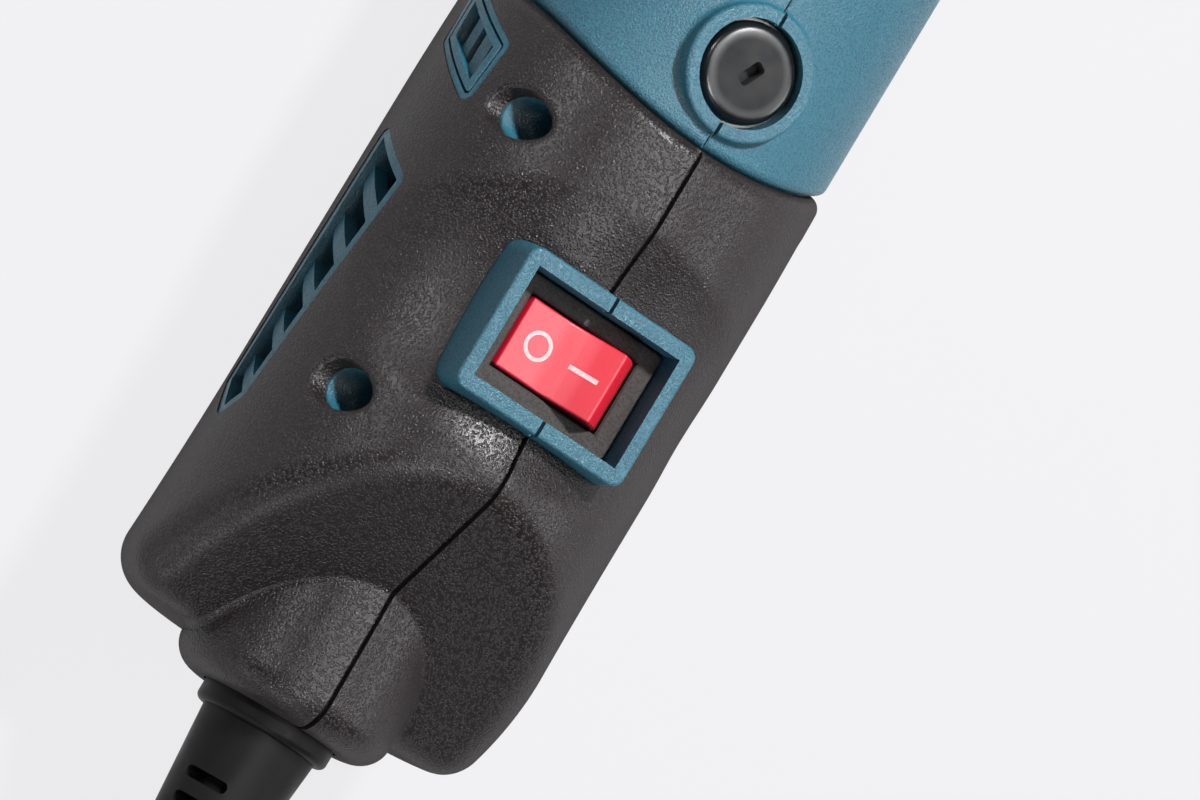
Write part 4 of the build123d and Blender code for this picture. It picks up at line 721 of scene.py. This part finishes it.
@dataclass
class Housing:
    """Hard shell halves, soft grips and the screws between them."""

    screw_places_mm: tuple[tuple[float, float], ...] = ((-144.4, 16.3), (-183.6, 15.2), (-113.8, 20.9))
    seat_y_mm: float = 6.0
    head_radius_mm: float = 2.4
    head_height_mm: float = 1.8
    # corners of the head, as shares of its radius and height
    head_profile: tuple[tuple[float, float], ...] = ((0.0, 1.0), (0.45, 0.96), (0.8, 0.78), (1.0, 0.4))
    thread_radius_mm: float = 1.45
    core_radius_mm: float = 1.05
    pitch_mm: float = 1.1
    flank_share: float = 0.3        # width of one flank of the thread, as a share of the pitch
    length_mm: float = 16.0
    facets: int = 24
    cross_width_mm: float = 0.75
    cross_length_mm: float = 2.9
    cross_depth_mm: float = 1.2
    cross_tip: tuple[float, float, float] = (0.45, 0.6, 1.0)    # size of a blade's tip, as shares of its top
    first_turn: float = math.radians(20.0)
    next_turn: float = math.radians(37.0)

    def build(self) -> None:
        """Dress the shell and the grips, and make the screws."""
        dress(TEAL_ABS, "left_shell", "right_shell")
        dress(GRIP_RUBBER, "left_grip", "right_grip")
        self.screws()

    def screw(self) -> Shape:
        """One pan-head screw that stands on its tip along Z, with its seat at the origin.

        Returns:
            The screw, with a cross recess in its head.
        """
        head, height = self.head_radius_mm, self.head_height_mm
        outline = [(share * head, rise * height) for share, rise in self.head_profile]
        outline += [(head, 0.0), (self.core_radius_mm, 0.0)]
        flank = self.flank_share * self.pitch_mm
        for turn in range(int(self.length_mm / self.pitch_mm) - 1):
            crest = -(turn + 0.5) * self.pitch_mm
            outline += [(self.core_radius_mm, crest + flank), (self.thread_radius_mm, crest),
                        (self.core_radius_mm, crest - flank)]
        outline.append((0.0, -self.length_mm))
        return Piece.cut(Piece.turned(outline, self.facets), self.cross())

    def cross(self) -> Shape:
        """Two tapered blades that leave the cross recess.

        Returns:
            The blades, in the screw's own place.
        """
        shape = bmesh.new()
        size = (self.cross_length_mm * MM, self.cross_width_mm * MM, 2 * self.cross_depth_mm * MM)
        for quarter in range(2):
            blade = bmesh.ops.create_cube(shape, size=1.0)["verts"]
            bmesh.ops.scale(shape, verts=blade, vec=size)
            tip = [vert for vert in blade if vert.co.z < 0]
            bmesh.ops.scale(shape, verts=tip, vec=self.cross_tip)
            bmesh.ops.rotate(shape, verts=blade, matrix=Matrix.Rotation(quarter * math.pi / 2, 3, "Z"))
        bmesh.ops.translate(shape, verts=shape.verts, vec=(0, 0, self.head_height_mm * MM))
        return shape

    def screws(self) -> bpy.types.Object:
        """All the screws, each stopped at another turn.

        Returns:
            The screws as one piece.
        """
        one = self.screw()
        mesh = bpy.data.meshes.new("one_screw")
        one.to_mesh(mesh)
        one.free()
        shape = bmesh.new()
        lying = Matrix.Rotation(-math.pi / 2, 4, "X")
        places = [(x, side * z) for x, z in self.screw_places_mm for side in (1, -1)]
        for index, (x, z) in enumerate(places):
            known = set(shape.verts)
            shape.from_mesh(mesh)
            new = [vert for vert in shape.verts if vert not in known]
            place = Matrix.Translation((x * MM, self.seat_y_mm * MM, z * MM)) @ lying
            turn = Matrix.Rotation(self.first_turn + index * self.next_turn, 4, "Z")
            bmesh.ops.transform(shape, matrix=place @ turn, verts=new)
        bpy.data.meshes.remove(mesh)
        piece = Piece.made("housing_screws_cross", shape, BLACK_STEEL, Body.HOUSING, "black_steel")
        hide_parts("housing_screws")
        return piece


@dataclass
class SwitchGear:
    """Rocker switch with its two marks."""

    tilt: float = math.radians(12.0)
    top_mm: float = 4.2             # middle of the rocker's top above the pivot
    mark_rise_mm: float = 0.03
    off_radius_mm: float = 1.9
    off_line_mm: float = 0.5
    off_y_mm: float = 3.26
    off_facets: int = 64
    on_length_mm: float = 4.0
    on_width_mm: float = 0.6
    on_y_mm: float = 3.4
    on_parts: int = 6               # faces along the bar

    def build(self) -> None:
        """Dress the switch and make its marks."""
        dress(SWITCH_NYLON, "switch_body")
        dress(ROCKER_RED, "rocker")
        dress(BRASS, "switch_terminals")
        dress(LEAD_VINYL, "lead_wires")
        self.off_mark()
        self.on_mark()

    def face(self, half: Half, along_mm: float) -> Matrix:
        """Place of a mark on one half of the rocker's top.

        Args:
            half: Half that carries the mark.
            along_mm: Distance from the middle of the top.

        Returns:
            Matrix from the mark's own plane to the tool's frame.
        """
        pivot = Vector(next(joint for joint in frame["joints"] if joint["name"] == "rocker_tilt")["pos_m"])
        tipped = Matrix.Translation(pivot) @ Matrix.Rotation(-self.tilt, 4, "X")
        slope = Matrix.Translation((0, 0, self.top_mm * MM)) @ Matrix.Rotation(half.value * self.tilt, 4, "X")
        return tipped @ slope @ Matrix.Translation((0, half.value * along_mm * MM, self.mark_rise_mm * MM))

    def off_mark(self) -> bpy.types.Object:
        """Ring that marks the off end.

        Returns:
            The ring.
        """
        shape = bmesh.new()
        outer = bmesh.ops.create_circle(shape, segments=self.off_facets, radius=self.off_radius_mm * MM)
        rim = list({edge for vert in outer["verts"] for edge in vert.link_edges})
        grown = bmesh.ops.extrude_edge_only(shape, edges=rim)["geom"]
        inner = [item for item in grown if isinstance(item, bmesh.types.BMVert)]
        share = 1 - self.off_line_mm / self.off_radius_mm
        bmesh.ops.scale(shape, verts=inner, vec=(share, share, 1.0))
        return self.printed("off_mark", shape, self.face(Half.OFF, self.off_y_mm))

    def on_mark(self) -> bpy.types.Object:
        """Bar that marks the on end.

        Returns:
            The bar.
        """
        shape = bmesh.new()
        bmesh.ops.create_grid(shape, x_segments=1, y_segments=self.on_parts, size=0.5)
        bmesh.ops.scale(shape, verts=shape.verts, vec=(self.on_width_mm * MM, self.on_length_mm * MM, 1.0))
        return self.printed("on_mark", shape, self.face(Half.ON, self.on_y_mm))

    def printed(self, name: str, shape: Shape, place: Matrix) -> bpy.types.Object:
        """Thicken a flat mark down to the rocker and put it in place.

        Args:
            name: Name of the mark.
            shape: Flat outline in its own plane.
            place: Matrix to the tool's frame.

        Returns:
            The mark.
        """
        down = bmesh.ops.extrude_face_region(shape, geom=shape.faces[:])["geom"]
        verts = [item for item in down if isinstance(item, bmesh.types.BMVert)]
        bmesh.ops.translate(shape, verts=verts, vec=(0, 0, -2 * self.mark_rise_mm * MM))
        bmesh.ops.transform(shape, matrix=place, verts=shape.verts)
        return Piece.made(name, shape, MARK_INK, Body.ROCKER, "red_plastic")


@dataclass
class CoilSpring:
    """Coil spring between a fixed end and the piece that it pushes."""

    node: str
    joint: str
    x_mm: float
    radius_mm: float
    fixed_mm: float                 # height of the end that stays
    free_mm: float                  # height of the end that moves
    travel_mm: float
    wire_mm: float = 0.3            # radius of the wire
    ease_mm: float = 0.02           # play at each end
    turns: int = 3
    facets: int = 32                # round one turn
    wire_facets: int = 12

    def build(self) -> bpy.types.Object:
        """Wind the spring in place of the CAD one.

        Returns:
            The spring.
        """
        low, high = sorted((self.fixed_mm, self.free_mm))
        inset = self.wire_mm + self.ease_mm
        steps = self.turns * self.facets
        rise = (high - low - 2 * inset) * MM / steps
        shape = bmesh.new()
        bmesh.ops.create_circle(shape, segments=self.wire_facets, radius=self.wire_mm * MM)
        foot = Matrix.Translation((self.radius_mm * MM, 0, (low + inset) * MM))
        bmesh.ops.transform(shape, matrix=foot @ Matrix.Rotation(math.pi / 2, 4, "X"), verts=shape.verts)
        bmesh.ops.spin(shape, geom=shape.verts[:] + shape.edges[:], axis=(0, 0, 1), cent=(0, 0, 0),
                       dvec=(0, 0, rise), angle=math.tau * self.turns, steps=steps)
        bmesh.ops.holes_fill(shape, edges=shape.edges[:], sides=self.wire_facets)
        bmesh.ops.translate(shape, verts=shape.verts, vec=(self.x_mm * MM, 0, 0))
        piece = Piece.made(f"{self.node}_coil", shape, SPRING_STEEL, Body.HOUSING, "spring_steel")
        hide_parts(self.node)
        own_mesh(piece)
        return piece


@dataclass
class BrushGear:
    """Brush caps, holders, brushes and springs above and below."""

    cap_top_mm: float = 26.4
    cap_radius_mm: float = 6.4
    cap_dome_mm: float = 0.6        # fall of the domed top from its middle to its rim
    cap_head_mm: float = 2.2
    cap_round_mm: float = 1.0
    cap_facets: int = 96
    round_facets: int = 5
    dome_power: int = 3
    dome_rings: int = 8
    dome_share: float = 0.8         # radius of the last ring, clear of the rounded rim
    thread_radius_mm: float = 6.75
    thread_mm: float = 1.8
    slot_mm: tuple[float, float] = (3.5, 1.7)
    slot_depth_mm: float = 2.4
    slot_round_mm: float = 0.5
    slot_turn: float = math.radians(-26.0)
    spring_radius_mm: float = 2.0
    spring_top_mm: float = 22.4
    spring_foot_mm: float = 19.1
    travel_mm: float = 1.5

    def build(self) -> None:
        """Dress both sets and make their springs and caps."""
        for side in Side:
            dress(BRASS, f"{side.value}_brush_holder")
            dress(BRUSH_CARBON, f"{side.value}_brush")
            self.spring(side)
            self.cap(side)

    def spring(self, side: Side) -> bpy.types.Object:
        """Spring between a brush and its cap.

        Args:
            side: Side of the tool that the spring is on.

        Returns:
            The spring.
        """
        sign = -1 if side is Side.LOWER else 1
        coil = CoilSpring(f"{side.value}_brush_spring", f"{side.value}_brush_slide", BRUSH_X_MM,
                          self.spring_radius_mm, sign * self.spring_top_mm, sign * self.spring_foot_mm,
                          self.travel_mm)
        return coil.build()

    def cap(self, side: Side) -> bpy.types.Object:
        """Domed cap with a driver slot and its threaded skirt.

        Args:
            side: Side of the tool that the cap closes.

        Returns:
            The cap.
        """
        shares = [self.dome_share * ring / self.dome_rings for ring in range(self.dome_rings + 1)] + [1.0]
        radius, fall = self.cap_radius_mm, self.cap_dome_mm
        outline = [(radius * share, -fall * share ** self.dome_power) for share in shares]
        foot = -self.cap_head_mm - self.thread_mm
        outline += [(radius, -self.cap_head_mm), (self.thread_radius_mm, -self.cap_head_mm),
                    (self.thread_radius_mm, foot), (0.0, foot)]
        blank = Piece.turned(outline, self.cap_facets)
        rim = [edge for edge in blank.edges
               if all(abs(vert.co.z + fall * MM) < SAME_POINT for vert in edge.verts)]
        Piece.rounded(blank, rim, self.cap_round_mm, self.round_facets)
        shape = Piece.cut(blank, self.slot())
        place = Matrix.Translation((BRUSH_X_MM * MM, 0, self.cap_top_mm * MM))
        if side is Side.LOWER:
            place = Matrix.Scale(-1, 4, (0, 0, 1)) @ place
        bmesh.ops.transform(shape, matrix=place, verts=shape.verts)
        piece = Piece.made(f"{side.value}_brush_cap_domed", shape, CAP_PHENOLIC, Body.HOUSING, "cap_plastic")
        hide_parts(f"{side.value}_brush_cap")
        return piece

    def slot(self) -> Shape:
        """Blade that leaves the driver slot.

        Returns:
            The blade, with the cap's top at the origin.
        """
        shape = bmesh.new()
        bmesh.ops.create_cube(shape, size=1.0)
        length, width = self.slot_mm
        size = (length * MM, width * MM, 2 * self.slot_depth_mm * MM)
        bmesh.ops.scale(shape, verts=shape.verts, vec=size)
        upright = [edge for edge in shape.edges if abs(edge.verts[0].co.z - edge.verts[1].co.z) > MM]
        Piece.rounded(shape, upright, self.slot_round_mm)
        bmesh.ops.rotate(shape, verts=shape.verts, matrix=Matrix.Rotation(self.slot_turn, 3, "Z"))
        return shape


@dataclass
class Motor:
    """Armature, field, fan and bearings inside the shell."""

    def build(self) -> None:
        """Dress the motor."""
        dress(LAMINATION, "field_core", "armature_core")
        dress(COPPER_WIRE, "left_field_coil", "right_field_coil", "armature_winding")
        dress(COPPER_BAR, "commutator")
        dress(BLACK_NYLON, "cooling_fan", "air_baffle")
        dress(GUARD_VINYL, "rear_bearing_bush")
        dress(BEARING_STEEL, "armature_shaft")
        for end in ("front", "rear"):
            dress(BEARING_STEEL, *(f"{end}_bearing_{kind}" for kind in ("outer", "inner", "balls")))


@dataclass
class SpindleNose:
    """Nose cap, collet with its nut, and the spindle lock."""

    lock_spring: CoilSpring = field(default_factory=lambda: CoilSpring(
        "lock_spring", "spindle_lock_press", x_mm=-41.0, radius_mm=3.0, fixed_mm=8.6, free_mm=11.8,
        travel_mm=1.4))

    def build(self) -> None:
        """Dress the nose and make the lock's spring."""
        self.lock_spring.build()
        dress(BLACK_NYLON, "nose_cap", "lock_button")
        dress(SPRING_STEEL, "collet")
        dress(BLACK_STEEL, "collet_nut")
        dress(BEARING_STEEL, "lock_collar", "lock_pin")


@dataclass
class CordEntry:
    """Cord guard and the clamp behind it."""

    def build(self) -> None:
        """Dress the guard and the clamp."""
        dress(GUARD_VINYL, "cord_guard")
        dress(BLACK_NYLON, "cord_clamp")
        dress(BLACK_STEEL, "cord_clamp_screws")


@dataclass
class Lamp:
    """Soft square studio light aimed at the tool."""

    name: str
    direction: tuple[float, float, float]
    distance: float
    size: float
    watts: float
    gloss_only: bool = False        # a card that shows in the lights on the tool but doesn't fill its shadows

    def build(self, target: Vector) -> None:
        """Hang the light.

        Args:
            target: Point that the light looks at.
        """
        data = bpy.data.lights.new(self.name, "AREA")
        data.shape = "SQUARE"
        data.size = self.size
        data.energy = self.watts
        lamp = bpy.data.objects.new(self.name, data)
        bpy.context.scene.collection.objects.link(lamp)
        heading = Vector(self.direction).normalized()
        lamp.location = target + heading * self.distance
        lamp.visible_diffuse = not self.gloss_only
        lamp.rotation_euler = (-heading).to_track_quat("-Z", "Y").to_euler()


@dataclass
class Studio:
    """Camera, lights, floor and white surround."""

    camera_at: tuple[float, float, float] = (-0.29212, 0.37136, 0.93650)
    camera_aim: tuple[float, float, float] = (-0.16903, -0.00509, 0.0262)
    camera_roll: float = math.radians(104.331)
    camera_reach: float = 50.0
    lens_mm: float = 247.5
    sensor_mm: float = 36.0
    surround: str = "#faf9fb"
    paper: str = "#b4b3b6"
    ceiling: str = "#3a3a3a"
    horizon_top: float = 0.05       # sine of the height where the pale surround starts to fade
    ceiling_from: float = 0.24      # and where it has faded to the ceiling
    floor_size: float = 6.0
    floor_parts: int = 4            # faces along each side
    floor_gap: float = 0.0002       # under the tool
    glow_share: float = 0.85        # of the surround's white in what is seen of the floor
    lamps: list[Lamp] = field(default_factory=lambda: [
        Lamp("key_light", (0.58, -0.06, 0.81), 0.8, 0.09, 7.5),
        Lamp("right_light", (0.1, -0.8, 0.6), 1.4, 0.6, 2.2),
        Lamp("rear_light", (-0.9, 0.15, 0.4), 1.4, 0.5, 4.0),
        Lamp("top_panel", (0.15, -0.3, 0.94), 1.4, 0.5, 7.5, gloss_only=True),
        Lamp("right_panel", (0.12, -0.85, 0.5), 1.4, 0.6, 4.0, gloss_only=True),
        Lamp("front_panel", (0.24, 0.22, 0.945), 1.4, 0.15, 3.5, gloss_only=True),
        Lamp("ear_panel", (-0.73, 0.65, 0.22), 1.4, 0.3, 2.0, gloss_only=True),
        Lamp("rear_panel", (-0.36, 0.08, 0.92), 1.4, 0.25, 6.5, gloss_only=True),
        Lamp("left_panel", (0.28, 0.8, 0.53), 1.4, 0.25, 6.0, gloss_only=True),
    ])

    def build(self) -> None:
        """Set up the whole studio."""
        scene = bpy.context.scene
        scene.view_settings.view_transform = "Standard"
        lowest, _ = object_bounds()
        target = Vector(self.camera_aim)
        for lamp in self.lamps:
            lamp.build(target)
        self.camera(scene)
        self.world(scene)
        self.floor(lowest[2])

    def camera(self, scene: bpy.types.Scene) -> None:
        """Camera at the photo's view point.

        Args:
            scene: Scene that gets the camera.
        """
        data = bpy.data.cameras.new("camera")
        data.sensor_fit = "HORIZONTAL"
        data.sensor_width = self.sensor_mm
        data.lens = self.lens_mm
        data.clip_end = self.camera_reach
        camera = bpy.data.objects.new("camera", data)
        scene.collection.objects.link(camera)
        place = Vector(self.camera_at)
        look = (Vector(self.camera_aim) - place).to_track_quat("-Z", "Y")
        camera.location = place
        camera.rotation_euler = (look @ Quaternion((0, 0, 1), self.camera_roll)).to_euler()
        scene.camera = camera

    def seen(self, tree: Tree) -> Socket:
        """One where a ray comes straight from the eye, or by way of gloss or glass.

        Args:
            tree: Node tree that gets the nodes.

        Returns:
            The factor.
        """
        path = add_node(tree, "ShaderNodeLightPath")
        factor = path.outputs["Is Camera Ray"]
        for kind in ("Is Transmission Ray", "Is Glossy Ray"):
            either = add_node(tree, "ShaderNodeMath", {0: factor, 1: path.outputs[kind]}, operation="MAXIMUM")
            factor = either.outputs[0]
        return factor

    def world(self, scene: bpy.types.Scene) -> None:
        """Surround that is pale round the horizon and fades to a dim ceiling.

        Args:
            scene: Scene that gets the world.
        """
        world = bpy.data.worlds.new("surround")
        scene.world = world
        world.use_nodes = True
        tree = world.node_tree
        tree.nodes.clear()
        outwards = add_node(tree, "ShaderNodeTexCoord").outputs["Generated"]
        heading = add_node(tree, "ShaderNodeSeparateXYZ", {0: outwards})
        rise = add_node(tree, "ShaderNodeMapRange", {0: heading.outputs[2], FROM_LOW: self.horizon_top,
                                                     FROM_HIGH: self.ceiling_from})
        fade = add_node(tree, "ShaderNodeMix", {0: rise.outputs[0], COLOUR_A: linear(self.surround),
                                                COLOUR_B: linear(self.ceiling)}, data_type="RGBA")
        around = add_node(tree, "ShaderNodeBackground", {"Color": fade.outputs[2]})
        add_node(tree, "ShaderNodeOutputWorld", {"Surface": around.outputs[0]})

    def floor(self, height: float) -> None:
        """Pale floor under the tool that keeps its shadow.

        Args:
            height: Lowest point of the tool.
        """
        shape = bmesh.new()
        bmesh.ops.create_grid(shape, x_segments=self.floor_parts, y_segments=self.floor_parts,
                              size=self.floor_size / 2)
        bmesh.ops.translate(shape, verts=shape.verts, vec=(0, 0, height - self.floor_gap))
        mesh = bpy.data.meshes.new("floor")
        shape.to_mesh(mesh)
        shape.free()
        floor = bpy.data.objects.new("floor", mesh)
        bpy.context.scene.collection.objects.link(floor)
        material = bpy.data.materials.new("floor_paper")
        material.use_nodes = True
        tree = material.node_tree
        tree.nodes.clear()
        paper = add_node(tree, "ShaderNodeBsdfDiffuse", {"Color": linear(self.paper)})
        glow = add_node(tree, "ShaderNodeEmission", {"Color": linear(self.surround)})
        share = add_node(tree, "ShaderNodeMath", {0: self.seen(tree), 1: self.glow_share},
                         operation="MULTIPLY")
        mixed = add_node(tree, "ShaderNodeMixShader", {0: share.outputs[0], 1: paper.outputs[0],
                                                       2: glow.outputs[0]})
        add_node(tree, "ShaderNodeOutputMaterial", {"Surface": mixed.outputs[0]})
        mesh.materials.append(material)
        floor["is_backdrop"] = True


def main() -> None:
    """Build the looks of the tool, piece by piece, and its studio."""
    logging.basicConfig(level=logging.INFO, format="%(message)s")
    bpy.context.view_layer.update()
    for part in (Housing(), SwitchGear(), BrushGear(), Motor(), SpindleNose(), CordEntry()):
        part.build()
    Studio().build()


if __name__ == "__main__":
    main()
